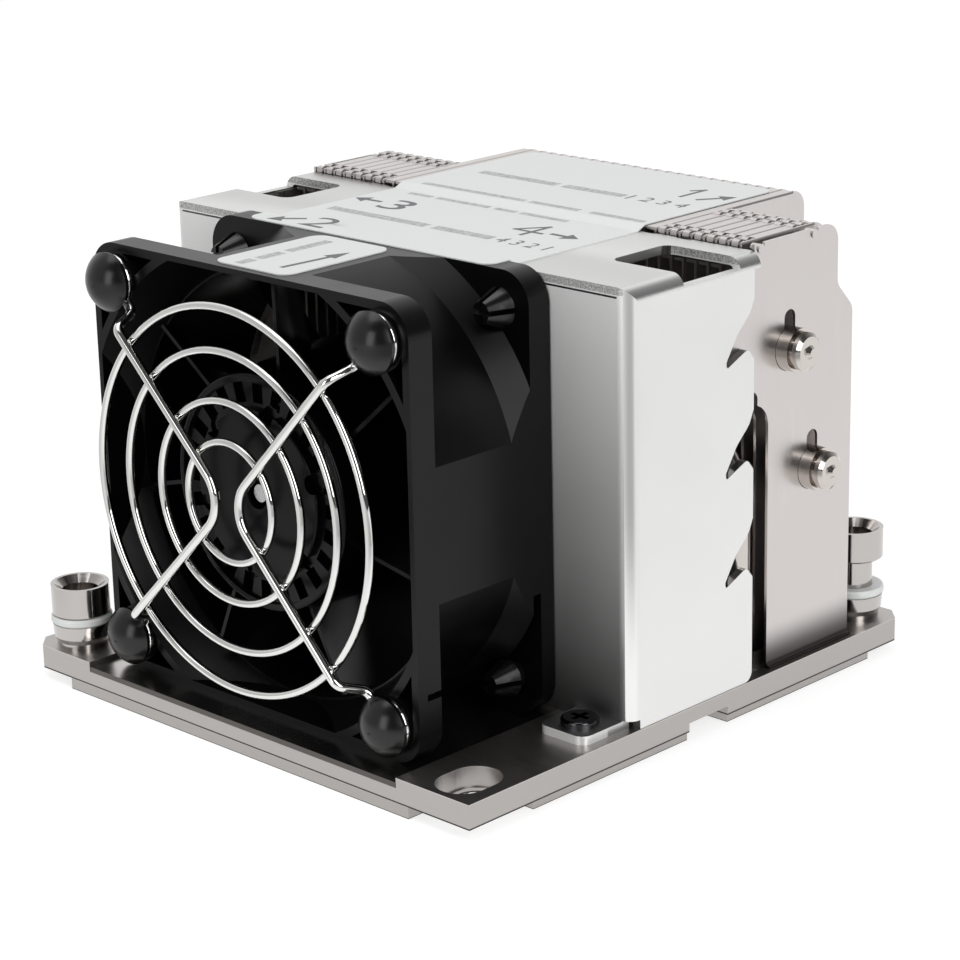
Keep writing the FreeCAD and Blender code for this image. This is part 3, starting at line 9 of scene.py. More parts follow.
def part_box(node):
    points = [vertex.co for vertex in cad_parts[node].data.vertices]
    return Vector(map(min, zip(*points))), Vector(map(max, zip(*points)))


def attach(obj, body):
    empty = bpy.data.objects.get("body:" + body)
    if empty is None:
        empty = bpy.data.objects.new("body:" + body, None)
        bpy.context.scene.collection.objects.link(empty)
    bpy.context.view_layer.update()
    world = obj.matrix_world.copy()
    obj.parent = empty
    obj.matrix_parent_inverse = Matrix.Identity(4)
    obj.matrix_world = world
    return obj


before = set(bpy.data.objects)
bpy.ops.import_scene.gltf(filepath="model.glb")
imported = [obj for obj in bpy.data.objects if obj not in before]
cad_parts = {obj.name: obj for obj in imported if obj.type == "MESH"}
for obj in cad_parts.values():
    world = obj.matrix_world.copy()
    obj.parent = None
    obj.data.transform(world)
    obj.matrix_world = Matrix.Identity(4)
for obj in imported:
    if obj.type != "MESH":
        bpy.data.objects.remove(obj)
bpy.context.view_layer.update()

MM = 0.001
INK = 0.01 * MM                 # thickness of the printed ink
FILM = 0.15                     # thickness of the label film, in mm
PASS = 0.004                    # how far a pen stroke passes over the last one, in mm
FOOT_REFLECTION_SPAN = (1.2 * MM, 6.4 * MM)     # heights between which the painted reflection at a fin's foot fades to its own colour
WAVE = math.pi / 10             # distance in metres between bands of a wave at scale 1
FACING = 0.9                    # share of a normal above which a face looks along an axis
UPRIGHT = 0.5                   # share of a normal along Z below which a face stands up
LIP = 0.02                      # first step in which an arrow's head widens, in mm
POINT = 0.02                    # share of the head's width that is left at its point

PLATE_LOW, PLATE_HIGH = (corner[2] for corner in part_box("base_plate"))
FIN_FOOT_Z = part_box("end_fin_right")[0][2]
SHEET_FOOT_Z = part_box("shroud")[0][2]
SHEET_EDGE_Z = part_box("shroud")[1][2] - 1.0 * MM        # above it lies the top's cut edge
FOOT_FROM_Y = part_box("fan_housing")[1][1] - 2.5 * MM    # only the feet reach ahead of it
NUTS = (1, 2, 3, 4)


# ------------------------------------------------------------------ small helpers
def colour(text):
    """An sRGB hex colour as the linear colour that nodes take."""
    parts = [int(text[k:k + 2], 16) / 255 for k in (1, 3, 5)]
    linear = [p / 12.92 if p <= 0.04045 else ((p + 0.055) / 1.055) ** 2.4 for p in parts]
    return (*linear, 1.0)


def add(tree, kind, inputs=None, **settings):
    """Add one node with its settings, and with links or values for its inputs."""
    node = tree.nodes.new(kind)
    for name, value in settings.items():
        if hasattr(node, name):
            setattr(node, name, value)
        else:
            node.inputs[name.replace("_", " ")].default_value = value
    for name, source in (inputs or {}).items():
        if isinstance(source, bpy.types.NodeSocket):
            tree.links.new(source, node.inputs[name])
        else:
            node.inputs[name].default_value = source
    return node


def new_material(name, base, metallic, roughness):
    """A material with its shader, and the place on the piece in the frame's metres."""
    material = bpy.data.materials.new(name)
    material.use_nodes = True
    tree = material.node_tree
    shader = tree.nodes["Principled BSDF"]
    shader.inputs["Base Color"].default_value = colour(base)
    shader.inputs["Metallic"].default_value = metallic
    shader.inputs["Roughness"].default_value = roughness
    place = add(tree, "ShaderNodeTexCoord").outputs["Object"]
    return material, tree, shader, place


def per_mm(pitch):
    """Noise scale at which its features are about that many millimetres apart."""
    return 1.0 / (pitch * MM)


def bands(pitch):
    """Wave scale at which its bands are that many millimetres apart."""
    return WAVE / (pitch * MM)


def dress(material, *nodes):
    """Give whole CAD nodes one material."""
    for name in nodes:
        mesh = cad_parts[name].data
        mesh.materials.clear()
        mesh.materials.append(material)


# ------------------------------------------------------------------ finishes
def milled_plate(name, base, seam_z, edge_z):
    """Nickel plated plate: warm grey, with the fine lines of a fly cutter.

    Its lower edge is painted dark where the next plate lies under it, a painted shade,
    and its upper edge carries a thin painted highlight.
    """
    material, tree, shader, place = new_material(name, base, 1.0, 0.34)
    stretch = add(tree, "ShaderNodeMapping", {"Vector": place}, Scale=(0.06, 1.0, 1.0))
    lines = add(tree, "ShaderNodeTexNoise", {"Vector": stretch.outputs["Vector"]},
                Scale=per_mm(0.35), Detail=3.0, Roughness=0.6)
    rough = add(tree, "ShaderNodeMapRange", {"Value": lines.outputs["Fac"]},
                To_Min=0.26, To_Max=0.42)
    bump = add(tree, "ShaderNodeBump", {"Height": lines.outputs["Fac"]},
               Strength=0.12, Distance=0.02 * MM)
    spot = add(tree, "ShaderNodeSeparateXYZ", {"Vector": place})
    rise = add(tree, "ShaderNodeMapRange", {"Value": spot.outputs["Z"]},
               From_Min=seam_z, From_Max=edge_z)
    # The ramp paints a thin dark line at the foot of each upright face (painted shade) and
    # a bright line at its top edge (painted highlight).
    band = add(tree, "ShaderNodeValToRGB", {"Fac": rise.outputs["Result"]})
    stops = band.color_ramp.elements
    painted_seam_shade, edge = "#3d3a38", "#cfcbc8"
    stops[0].color = colour(painted_seam_shade)
    stops[1].color = colour(edge)
    for height, shade in ((0.05, painted_seam_shade), (0.07, base), (0.95, base)):
        stops.new(height).color = colour(shade)
    facing = add(tree, "ShaderNodeNewGeometry").outputs["Normal"]
    size = add(tree, "ShaderNodeVectorMath", {0: facing}, operation="ABSOLUTE")
    parts = add(tree, "ShaderNodeSeparateXYZ", {"Vector": size.outputs["Vector"]})
    upright = add(tree, "ShaderNodeMapRange", {"Value": parts.outputs["Z"]},
                  From_Min=0.3, From_Max=0.7, To_Min=1.0, To_Max=0.0)
    skin = add(tree, "ShaderNodeMix", {"Factor": upright.outputs["Result"],
                                       "B": band.outputs["Color"]},
               data_type="RGBA", A=colour(base))
    tree.links.new(skin.outputs["Result"], shader.inputs["Base Color"])
    tree.links.new(rough.outputs["Result"], shader.inputs["Roughness"])
    tree.links.new(bump.outputs["Normal"], shader.inputs["Normal"])
    return material


def rolled_steel():
    """Thin bright rolled steel sheet, smoother than the plate it lies on."""
    material, tree, shader, place = new_material("rolled_steel", "#c6c3c0", 1.0, 0.22)
    stretch = add(tree, "ShaderNodeMapping", {"Vector": place}, Scale=(0.05, 1.0, 1.0))
    grain = add(tree, "ShaderNodeTexNoise", {"Vector": stretch.outputs["Vector"]},
                Scale=per_mm(0.25), Detail=2.0)
    bump = add(tree, "ShaderNodeBump", {"Height": grain.outputs["Fac"]},
               Strength=0.08, Distance=0.01 * MM)
    # Its side and lower faces are painted darker than its top: painted shade.
    facing = add(tree, "ShaderNodeNewGeometry").outputs["Normal"]
    parts = add(tree, "ShaderNodeSeparateXYZ", {"Vector": facing})
    flat = add(tree, "ShaderNodeMapRange", {"Value": parts.outputs["Z"]},
               From_Min=0.3, From_Max=0.8)
    skin = add(tree, "ShaderNodeMix", {"Factor": flat.outputs["Result"]},
               data_type="RGBA", A=colour("#5d5a57"), B=colour("#c6c3c0"))
    tree.links.new(skin.outputs["Result"], shader.inputs["Base Color"])
    tree.links.new(bump.outputs["Normal"], shader.inputs["Normal"])
    return material


def fin_sheet():
    """Thin plated fin sheet: bright, with faint roll lines along Z, painted dark at its
    foot.
    """
    material, tree, shader, place = new_material("plated_fin_sheet", "#cfcac8", 1.0, 0.3)
    # The lowest millimetres are painted dark: a painted reflection of the dark plate below.
    spot = add(tree, "ShaderNodeSeparateXYZ", {"Vector": place})
    painted_light = add(tree, "ShaderNodeMapRange", {"Value": spot.outputs["Z"]},
                interpolation_type="SMOOTHSTEP",
                From_Min=FIN_FOOT_Z + FOOT_REFLECTION_SPAN[0], From_Max=FIN_FOOT_Z + FOOT_REFLECTION_SPAN[1])
    skin = add(tree, "ShaderNodeMix", {"Factor": painted_light.outputs["Result"]},
               data_type="RGBA", A=colour("#565251"), B=colour("#cfcac8"))
    tree.links.new(skin.outputs["Result"], shader.inputs["Base Color"])
    stretch = add(tree, "ShaderNodeMapping", {"Vector": place}, Scale=(1.0, 1.0, 0.05))
    grain = add(tree, "ShaderNodeTexNoise", {"Vector": stretch.outputs["Vector"]},
                Scale=per_mm(0.6), Detail=3.0)
    rough = add(tree, "ShaderNodeMapRange", {"Value": grain.outputs["Fac"]},
                To_Min=0.24, To_Max=0.36)
    bump = add(tree, "ShaderNodeBump", {"Height": grain.outputs["Fac"]},
               Strength=0.06, Distance=0.01 * MM)
    tree.links.new(rough.outputs["Result"], shader.inputs["Roughness"])
    tree.links.new(bump.outputs["Normal"], shader.inputs["Normal"])
    return material


def satin_sheet():
    """Folded aluminium sheet: satin flats, burnished bends and a grainy cut edge."""
    material, tree, shader, place = new_material("satin_aluminium_sheet", "#eeeeed",
                                                 1.0, 0.4)
    facing = add(tree, "ShaderNodeNewGeometry").outputs["Normal"]
    size = add(tree, "ShaderNodeVectorMath", {0: facing}, operation="ABSOLUTE")
    parts = add(tree, "ShaderNodeSeparateXYZ", {"Vector": size.outputs["Vector"]})
    larger = add(tree, "ShaderNodeMath", {0: parts.outputs["X"], 1: parts.outputs["Y"]},
                 operation="MAXIMUM")
    largest = add(tree, "ShaderNodeMath", {0: larger.outputs[0], 1: parts.outputs["Z"]},
                  operation="MAXIMUM")
    # On a bend the normal leans away from every axis, and the die has burnished it.
    bend = add(tree, "ShaderNodeMapRange", {"Value": largest.outputs[0]},
               From_Min=0.92, From_Max=0.995, To_Min=1.0, To_Max=0.0)
    cloud = add(tree, "ShaderNodeTexNoise", {"Vector": place}, Scale=per_mm(14.0),
                Detail=2.0)
    flat = add(tree, "ShaderNodeMapRange", {"Value": cloud.outputs["Fac"]},
               To_Min=0.36, To_Max=0.46)
    rough = add(tree, "ShaderNodeMix", {"Factor": bend.outputs["Result"],
                                        "A": flat.outputs["Result"]}, B=0.17)
    grain = add(tree, "ShaderNodeTexNoise", {"Vector": place}, Scale=per_mm(0.45),
                Detail=4.0, Roughness=0.65)
    height = add(tree, "ShaderNodeMapRange", {"Value": bend.outputs["Result"]},
                 To_Min=0.05, To_Max=0.3)
    bump = add(tree, "ShaderNodeBump", {"Height": grain.outputs["Fac"],
                                        "Strength": height.outputs["Result"]},
               Distance=0.02 * MM)
    # The sheared front edge of the top: dark where the die cut, grainy where it tore.
    spot = add(tree, "ShaderNodeSeparateXYZ", {"Vector": place})
    high = add(tree, "ShaderNodeMath", {0: spot.outputs["Z"], 1: SHEET_EDGE_Z},
               operation="GREATER_THAN")
    front = add(tree, "ShaderNodeMath", {0: parts.outputs["Y"], 1: FACING},
                operation="GREATER_THAN")
    upper = add(tree, "ShaderNodeMath", {0: high.outputs[0], 1: front.outputs[0]},
                operation="MULTIPLY")
    # The rim of the foot is a cut edge too, but tumbled even.
    ahead = add(tree, "ShaderNodeMath", {0: spot.outputs["Y"], 1: FOOT_FROM_Y},
                operation="LESS_THAN")
    upright = add(tree, "ShaderNodeMath", {0: parts.outputs["Z"], 1: UPRIGHT},
                  operation="LESS_THAN")
    rim = add(tree, "ShaderNodeMath", {0: ahead.outputs[0], 1: upright.outputs[0]},
              operation="MULTIPLY")
    cut = add(tree, "ShaderNodeMath", {0: upper.outputs[0], 1: rim.outputs[0]},
              operation="MAXIMUM")
    tear = add(tree, "ShaderNodeTexNoise", {"Vector": place}, Scale=per_mm(0.25),
               Detail=3.0, Roughness=0.7)
    crumbs = add(tree, "ShaderNodeValToRGB", {"Fac": tear.outputs["Fac"]})
    crumbs.color_ramp.elements[0].position = 0.35
    crumbs.color_ramp.elements[0].color = colour("#7c7c7b")
    crumbs.color_ramp.elements[1].position = 0.62
    crumbs.color_ramp.elements[1].color = colour("#dededd")
    # The narrow front flanges are made less metallic at the top, so that they catch more
    # light, and painted darker down to the foot: painted light above, painted shade below.
    rise = add(tree, "ShaderNodeMapRange", {"Value": spot.outputs["Z"]},
               From_Min=SHEET_FOOT_Z, From_Max=SHEET_EDGE_Z)
    wall = add(tree, "ShaderNodeMath", {0: front.outputs[0], 1: ahead.outputs[0]},
               operation="SUBTRACT", use_clamp=True)
    painted_lit_share = add(tree, "ShaderNodeMath", {0: wall.outputs[0], 1: rise.outputs["Result"]},
                 operation="MULTIPLY")
    deep = add(tree, "ShaderNodeMath", {0: wall.outputs[0], 1: painted_lit_share.outputs[0]},
               operation="SUBTRACT")
    # The top is painted a little darker than the sides: painted shade on the top, painted
    # light on the sides.
    painted_light = add(tree, "ShaderNodeMix", {"Factor": parts.outputs["Z"]}, data_type="RGBA",
                A=colour("#eeeeed"), B=colour("#d7d7d6"))
    # Painted shade: the front walls darken towards the foot.
    shade = add(tree, "ShaderNodeMix", {"Factor": deep.outputs[0],
                                        "A": painted_light.outputs["Result"]},
                data_type="RGBA", B=colour("#6a6a6a"))
    skin = add(tree, "ShaderNodeMix", {"Factor": upper.outputs[0],
                                       "A": shade.outputs["Result"],
                                       "B": crumbs.outputs["Color"]}, data_type="RGBA")
    # Cut edges are matt; the top of the front walls is made matt too, as painted light.
    matt = add(tree, "ShaderNodeMath", {0: cut.outputs[0], 1: painted_lit_share.outputs[0]},
               operation="MAXIMUM")
    metal = add(tree, "ShaderNodeMapRange", {"Value": matt.outputs[0]},
                To_Min=1.0, To_Max=0.35)
    tree.links.new(skin.outputs["Result"], shader.inputs["Base Color"])
    tree.links.new(metal.outputs["Result"], shader.inputs["Metallic"])
    # Rolled along the folds, so that what it mirrors is drawn out up and down.
    shader.inputs["Anisotropic"].default_value = 0.8
    along = add(tree, "ShaderNodeTangent", direction_type="RADIAL", axis="Z")
    tree.links.new(along.outputs["Tangent"], shader.inputs["Tangent"])
    tree.links.new(rough.outputs["Result"], shader.inputs["Roughness"])
    tree.links.new(bump.outputs["Normal"], shader.inputs["Normal"])
    return material


def plated_pipe():
    """Nickel plated copper tube: smooth and bright."""
    material, tree, shader, place = new_material("nickel_plated_tube", "#cbc5c0",
                                                 1.0, 0.18)
    marks = add(tree, "ShaderNodeTexNoise", {"Vector": place}, Scale=per_mm(0.8),
                Detail=4.0, Roughness=0.6)
    rough = add(tree, "ShaderNodeMapRange", {"Value": marks.outputs["Fac"]},
                To_Min=0.08, To_Max=0.18)
    bump = add(tree, "ShaderNodeBump", {"Height": marks.outputs["Fac"]},
               Strength=0.08, Distance=0.02 * MM)
    tree.links.new(rough.outputs["Result"], shader.inputs["Roughness"])
    tree.links.new(bump.outputs["Normal"], shader.inputs["Normal"])
    return material


def fan_plastic():
    """Glass filled PBT of the fan frame: deep black, satin, with a fine moulded skin."""
    material, tree, shader, place = new_material("black_pbt", "#060607", 0.0, 0.3)
    skin = add(tree, "ShaderNodeTexNoise", {"Vector": place}, Scale=per_mm(0.18),
               Detail=2.0)
    cloud = add(tree, "ShaderNodeTexNoise", {"Vector": place}, Scale=per_mm(9.0),
                Detail=2.0)
    rough = add(tree, "ShaderNodeMapRange", {"Value": cloud.outputs["Fac"]},
                To_Min=0.26, To_Max=0.36)
    bump = add(tree, "ShaderNodeBump", {"Height": skin.outputs["Fac"]},
               Strength=0.05, Distance=0.01 * MM)
    tree.links.new(rough.outputs["Result"], shader.inputs["Roughness"])
    tree.links.new(bump.outputs["Normal"], shader.inputs["Normal"])
    shader.inputs["Specular IOR Level"].default_value = 0.21
    return material


def rotor_plastic():
    """The rotor's PBT: the same black, polished smoother."""
    material, tree, shader, place = new_material("black_pbt_polished", "#040405",
                                                 0.0, 0.2)
    cloud = add(tree, "ShaderNodeTexNoise", {"Vector": place}, Scale=per_mm(6.0),
                Detail=2.0)
    rough = add(tree, "ShaderNodeMapRange", {"Value": cloud.outputs["Fac"]},
                To_Min=0.16, To_Max=0.26)
    tree.links.new(rough.outputs["Result"], shader.inputs["Roughness"])
    shader.inputs["Specular IOR Level"].default_value = 0.17
    return material


def black_nylon():
    """Push rivets: black nylon, smooth domes with a soft shine."""
    material, tree, shader, place = new_material("black_nylon", "#0b0b0b", 0.0, 0.24)
    skin = add(tree, "ShaderNodeTexNoise", {"Vector": place}, Scale=per_mm(0.3),
               Detail=2.0)
    bump = add(tree, "ShaderNodeBump", {"Height": skin.outputs["Fac"]},
               Strength=0.04, Distance=0.01 * MM)
    tree.links.new(bump.outputs["Normal"], shader.inputs["Normal"])
    return material


def chromed_wire():
    """Chrome plated spring wire of the guard: a near mirror."""
    material, tree, shader, place = new_material("chromed_wire", "#e6e6e4", 1.0, 0.03)
    draw = add(tree, "ShaderNodeTexNoise", {"Vector": place}, Scale=per_mm(4.0),
               Detail=1.0)
    bump = add(tree, "ShaderNodeBump", {"Height": draw.outputs["Fac"]},
               Strength=0.03, Distance=0.02 * MM)
    tree.links.new(bump.outputs["Normal"], shader.inputs["Normal"])
    return material


def turned_steel():
    """Nickel plated turned steel: fine rings from the lathe, seen as lines across Z."""
    material, tree, shader, place = new_material("nickel_plated_turned_steel", "#bdb9b6",
                                                 1.0, 0.12)
    flat = add(tree, "ShaderNodeMapping", {"Vector": place}, Scale=(0.03, 0.03, 1.0))
    rings = add(tree, "ShaderNodeTexNoise", {"Vector": flat.outputs["Vector"]},
                Scale=per_mm(0.12), Detail=2.0)
    rough = add(tree, "ShaderNodeMapRange", {"Value": rings.outputs["Fac"]},
                To_Min=0.08, To_Max=0.18)
    bump = add(tree, "ShaderNodeBump", {"Height": rings.outputs["Fac"]},
               Strength=0.1, Distance=0.01 * MM)
    tree.links.new(rough.outputs["Result"], shader.inputs["Roughness"])
    tree.links.new(bump.outputs["Normal"], shader.inputs["Normal"])
    return material


def white_nylon():
    """Natural nylon washers: milky white that lets a little light in."""
    material, tree, shader, place = new_material("natural_nylon", "#e0e2e0", 0.0, 0.42)
    shader.inputs["Subsurface Weight"].default_value = 0.15
    shader.inputs["Subsurface Scale"].default_value = 0.6 * MM
    skin = add(tree, "ShaderNodeTexNoise", {"Vector": place}, Scale=per_mm(0.4),
               Detail=2.0)
    bump = add(tree, "ShaderNodeBump", {"Height": skin.outputs["Fac"]},
               Strength=0.05, Distance=0.01 * MM)
    tree.links.new(bump.outputs["Normal"], shader.inputs["Normal"])
    return material


def label_film():
    """Matt printed polyester film, very slightly uneven where it was rubbed down."""
    material, tree, shader, place = new_material("matt_label_film", "#e6e8e7", 0.0, 0.45)
    wave = add(tree, "ShaderNodeTexNoise", {"Vector": place}, Scale=per_mm(7.0),
               Detail=1.0)
    bump = add(tree, "ShaderNodeBump", {"Height": wave.outputs["Fac"]},
               Strength=0.1, Distance=0.05 * MM)
    tree.links.new(bump.outputs["Normal"], shader.inputs["Normal"])
    return material


def black_zinc():
    """Black zinc on the foot screws: dark metal with a silky shine."""
    material, tree, shader, place = new_material("black_zinc_steel", "#4a4a4c", 1.0, 0.16)
    skin = add(tree, "ShaderNodeTexNoise", {"Vector": place}, Scale=per_mm(0.25),
               Detail=3.0)
    rough = add(tree, "ShaderNodeMapRange", {"Value": skin.outputs["Fac"]},
                To_Min=0.1, To_Max=0.24)
    tree.links.new(rough.outputs["Result"], shader.inputs["Roughness"])
    return material


def ground_steel():
    """Ground bearing steel of the shaft, rings and races."""
    material, tree, shader, place = new_material("ground_steel", "#c9c9ca", 1.0, 0.14)
    marks = add(tree, "ShaderNodeTexNoise", {"Vector": place}, Scale=per_mm(0.2),
                Detail=2.0)
    rough = add(tree, "ShaderNodeMapRange", {"Value": marks.outputs["Fac"]},
                To_Min=0.1, To_Max=0.2)
    tree.links.new(rough.outputs["Result"], shader.inputs["Roughness"])
    return material


def lamination_steel():
    """Stacked silicon steel and drawn yoke: grey, with the edges of 0.33 mm sheets."""
    material, tree, shader, place = new_material("silicon_steel", "#83848a", 1.0, 0.4)
    layers = add(tree, "ShaderNodeTexWave", {"Vector": place}, bands_direction="Y",
                 Scale=bands(0.329))
    bump = add(tree, "ShaderNodeBump", {"Height": layers.outputs["Fac"]},
               Strength=0.2, Distance=0.03 * MM)
    tree.links.new(bump.outputs["Normal"], shader.inputs["Normal"])
    return material


def enamelled_copper():
    """Enamelled winding wire: orange brown, glossy, in turns 0.2 mm apart."""
    material, tree, shader, place = new_material("enamelled_copper", "#b4652c", 1.0, 0.25)
    turns = add(tree, "ShaderNodeTexWave", {"Vector": place}, bands_direction="Y",
                Scale=bands(0.1974), Distortion=0.4)
    bump = add(tree, "ShaderNodeBump", {"Height": turns.outputs["Fac"]},
               Strength=0.5, Distance=0.08 * MM)
    tree.links.new(bump.outputs["Normal"], shader.inputs["Normal"])
    return material


def bonded_magnet():
    """Rubber bonded ferrite ring: dark grey and dull."""
    material, tree, shader, place = new_material("bonded_ferrite", "#2a2a2c", 0.0, 0.6)
    grit = add(tree, "ShaderNodeTexNoise", {"Vector": place}, Scale=per_mm(0.15),
               Detail=3.0)
    bump = add(tree, "ShaderNodeBump", {"Height": grit.outputs["Fac"]},
               Strength=0.2, Distance=0.02 * MM)
    tree.links.new(bump.outputs["Normal"], shader.inputs["Normal"])
    return material


def solder_mask():
    """Green solder mask on the motor's round board."""
    material, tree, shader, place = new_material("solder_mask", "#1d5a34", 0.0, 0.3)
    weave = add(tree, "ShaderNodeTexNoise", {"Vector": place}, Scale=per_mm(0.5),
                Detail=2.0)
    bump = add(tree, "ShaderNodeBump", {"Height": weave.outputs["Fac"]},
               Strength=0.1, Distance=0.01 * MM)
    tree.links.new(bump.outputs["Normal"], shader.inputs["Normal"])
    return material


dress(milled_plate("nickel_plated_base", "#b4b0ad", PLATE_LOW, PLATE_HIGH),
      "base_plate", "heat_spreader")
dress(milled_plate("nickel_plated_copper", "#aeaaa7", 0.0, PLATE_LOW), "cold_plate")
dress(rolled_steel(), "fan_shelf")
dress(fin_sheet(), "fins_centre", "fins_left", "fins_right", "end_fin_left",
      "end_fin_right")
dress(plated_pipe(), "heat_pipe_a", "heat_pipe_b", "heat_pipe_c")
dress(satin_sheet(), "shroud")
dress(fan_plastic(), "fan_housing")
dress(rotor_plastic(), "impeller")
dress(black_nylon(), "front_rivets", "rear_rivets")
dress(chromed_wire(), "finger_guard")
dress(turned_steel(), "nut_collars", *["captive_nut_%d" % k for k in NUTS])
dress(white_nylon(), "nut_washers")
dress(label_film(), "top_label", "fan_label")
dress(black_zinc(), "foot_screws")
dress(ground_steel(), "fan_shaft", "shaft_clip", "bearing_front", "bearing_rear",
      *["nut_ring_%d" % k for k in NUTS])
dress(lamination_steel(), "stator_core", "rotor_yoke")
dress(enamelled_copper(), "stator_coils")
dress(bonded_magnet(), "rotor_magnet")
dress(solder_mask(), "motor_board")


# ------------------------------------------------------------------ print on the labels
def screen_ink():
    """Grey screen ink: matt, a little uneven where the mesh laid it down."""
    material, tree, shader, place = new_material("grey_screen_ink", "#6d6e70", 0.0, 0.6)
    mesh = add(tree, "ShaderNodeTexNoise", {"Vector": place}, Scale=per_mm(0.3),
               Detail=2.0)
    tone = add(tree, "ShaderNodeValToRGB", {"Fac": mesh.outputs["Fac"]})
    tone.color_ramp.elements[0].color = colour("#646568")
    tone.color_ramp.elements[1].color = colour("#77787a")
    tree.links.new(tone.outputs["Color"], shader.inputs["Base Color"])
    return material


def thin_ink():
    """The same ink in a light screen, as small print looks from a way off."""
    material, tree, shader, place = new_material("pale_screen_ink", "#bdbfbf", 0.0, 0.6)
    mesh = add(tree, "ShaderNodeTexNoise", {"Vector": place}, Scale=per_mm(0.7),
               Detail=3.0)
    tone = add(tree, "ShaderNodeValToRGB", {"Fac": mesh.outputs["Fac"]})
    tone.color_ramp.elements[0].position = 0.35
    tone.color_ramp.elements[0].color = colour("#a9abac")
    tone.color_ramp.elements[1].position = 0.65
    tone.color_ramp.elements[1].color = colour("#cdd0cf")
    tree.links.new(tone.outputs["Color"], shader.inputs["Base Color"])
    return material


def face_towards(axis, side):
    """Select only the faces of the edited mesh that face one way along an axis."""
    bpy.ops.mesh.select_all(action="DESELECT")
    shape = bmesh.from_edit_mesh(bpy.context.object.data)
    for face in shape.faces:
        if face.normal[axis] * side > FACING:
            face.select_set(True)
    shape.select_flush_mode()
    bmesh.update_edit_mesh(bpy.context.object.data)


def ink_block(wide, long, place):
    """Start one thin film of ink, lying on the label."""
    bpy.ops.object.select_all(action="DESELECT")
    bpy.ops.mesh.primitive_cube_add(size=1.0, location=(0, 0, 0))
    film = bpy.context.object
    film.scale = (wide * MM, long * MM, INK)
    film.location = (place[0] * MM, place[1] * MM, place[2] * MM + INK)
    return film


def settle(piece, material):
    """Put a piece's place into its mesh and give it its finish."""
    bpy.ops.object.transform_apply(location=True, rotation=True, scale=True)
    piece.data.materials.clear()
    piece.data.materials.append(material)
    return piece


def bar(material, left, right, low, high, top):
    """A plain bar with round corners where the real label has a word."""
    middle = ((left + right) / 2, (low + high) / 2, top)
    film = ink_block(right - left, high - low, middle)
    settle(film, material)
    rounding = film.modifiers.new("corners", "BEVEL")
    rounding.width = 0.35 * (high - low) * MM
    rounding.segments = 3
    rounding.limit_method = "ANGLE"
    rounding.affect = "EDGES"
    bpy.ops.object.modifier_apply(modifier=rounding.name)
    return film


def arrow(material, tail, tip, top, thick=0.75, head=2.9, head_long=2.3):
    """An arrow: the shaft's end is widened and drawn out to a point."""
    run = Vector((tip[0] - tail[0], tip[1] - tail[1], 0.0))
    shaft = run.length - head_long
    bpy.ops.object.select_all(action="DESELECT")
    bpy.ops.mesh.primitive_cube_add(size=1.0, location=(0, 0, 0))
    film = bpy.context.object
    film.scale = (shaft * MM, thick * MM, INK)
    bpy.ops.object.transform_apply(location=False, rotation=False, scale=True)
    bpy.ops.object.mode_set(mode="EDIT")
    face_towards(0, 1)
    bpy.ops.mesh.extrude_region_move(TRANSFORM_OT_translate={"value": (LIP * MM, 0, 0)})
    end = (shaft / 2 + LIP) * MM
    bpy.ops.transform.resize(value=(1, head / thick, 1), center_override=(end, 0, 0))
    bpy.ops.mesh.extrude_region_move(
        TRANSFORM_OT_translate={"value": ((head_long - LIP) * MM, 0, 0)})
    end += (head_long - LIP) * MM
    bpy.ops.transform.resize(value=(1, POINT, 1), center_override=(end, 0, 0))
    bpy.ops.object.mode_set(mode="OBJECT")
    film.rotation_euler = (0, 0, math.atan2(run.y, run.x))
    start = Vector((tail[0], tail[1], top)) * MM + run.normalized() * (shaft / 2) * MM
    film.location = start + Vector((0, 0, INK))
    return settle(film, material)


def stroke(material, start, end, top, thick=0.62):
    """One pen stroke of a numeral, reaching half its width past each end."""
    run = Vector((end[0] - start[0], end[1] - start[1], 0.0))
    middle = ((start[0] + end[0]) / 2, (start[1] + end[1]) / 2, top)
    film = ink_block(run.length + thick, thick, middle)
    film.rotation_euler = (0, 0, math.atan2(run.y, run.x))
    return settle(film, material)


def figure(material, text, left, right, low, high, top):
    """A plain numeral, or a row of them, set to the printed size."""
    bpy.ops.object.select_all(action="DESELECT")
    bpy.ops.object.text_add(location=(0, 0, 0))
    words = bpy.context.object
    half = 0.01
    words.data.body = text
    words.data.extrude = half
    words.data.resolution_u = 4
    bpy.ops.object.convert(target="MESH")
    film = bpy.context.object
    xs = [corner.co.x for corner in film.data.vertices]
    ys = [corner.co.y for corner in film.data.vertices]
    wide = (right - left) * MM / (max(xs) - min(xs))
    tall = (high - low) * MM / (max(ys) - min(ys))
    film.scale = (wide, tall, INK / (2 * half))
    film.location = (left * MM - min(xs) * wide, low * MM - min(ys) * tall,
                     top * MM + INK)
    return settle(film, material)


def printed(name, films):
    """Join the films of one label's print and let them ride on the cooler."""
    bpy.ops.object.select_all(action="DESELECT")
    for film in films:
        film.select_set(True)
    bpy.context.view_layer.objects.active = films[0]
    bpy.ops.object.join()
    films[0].name = name
    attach(films[0], "cooler")


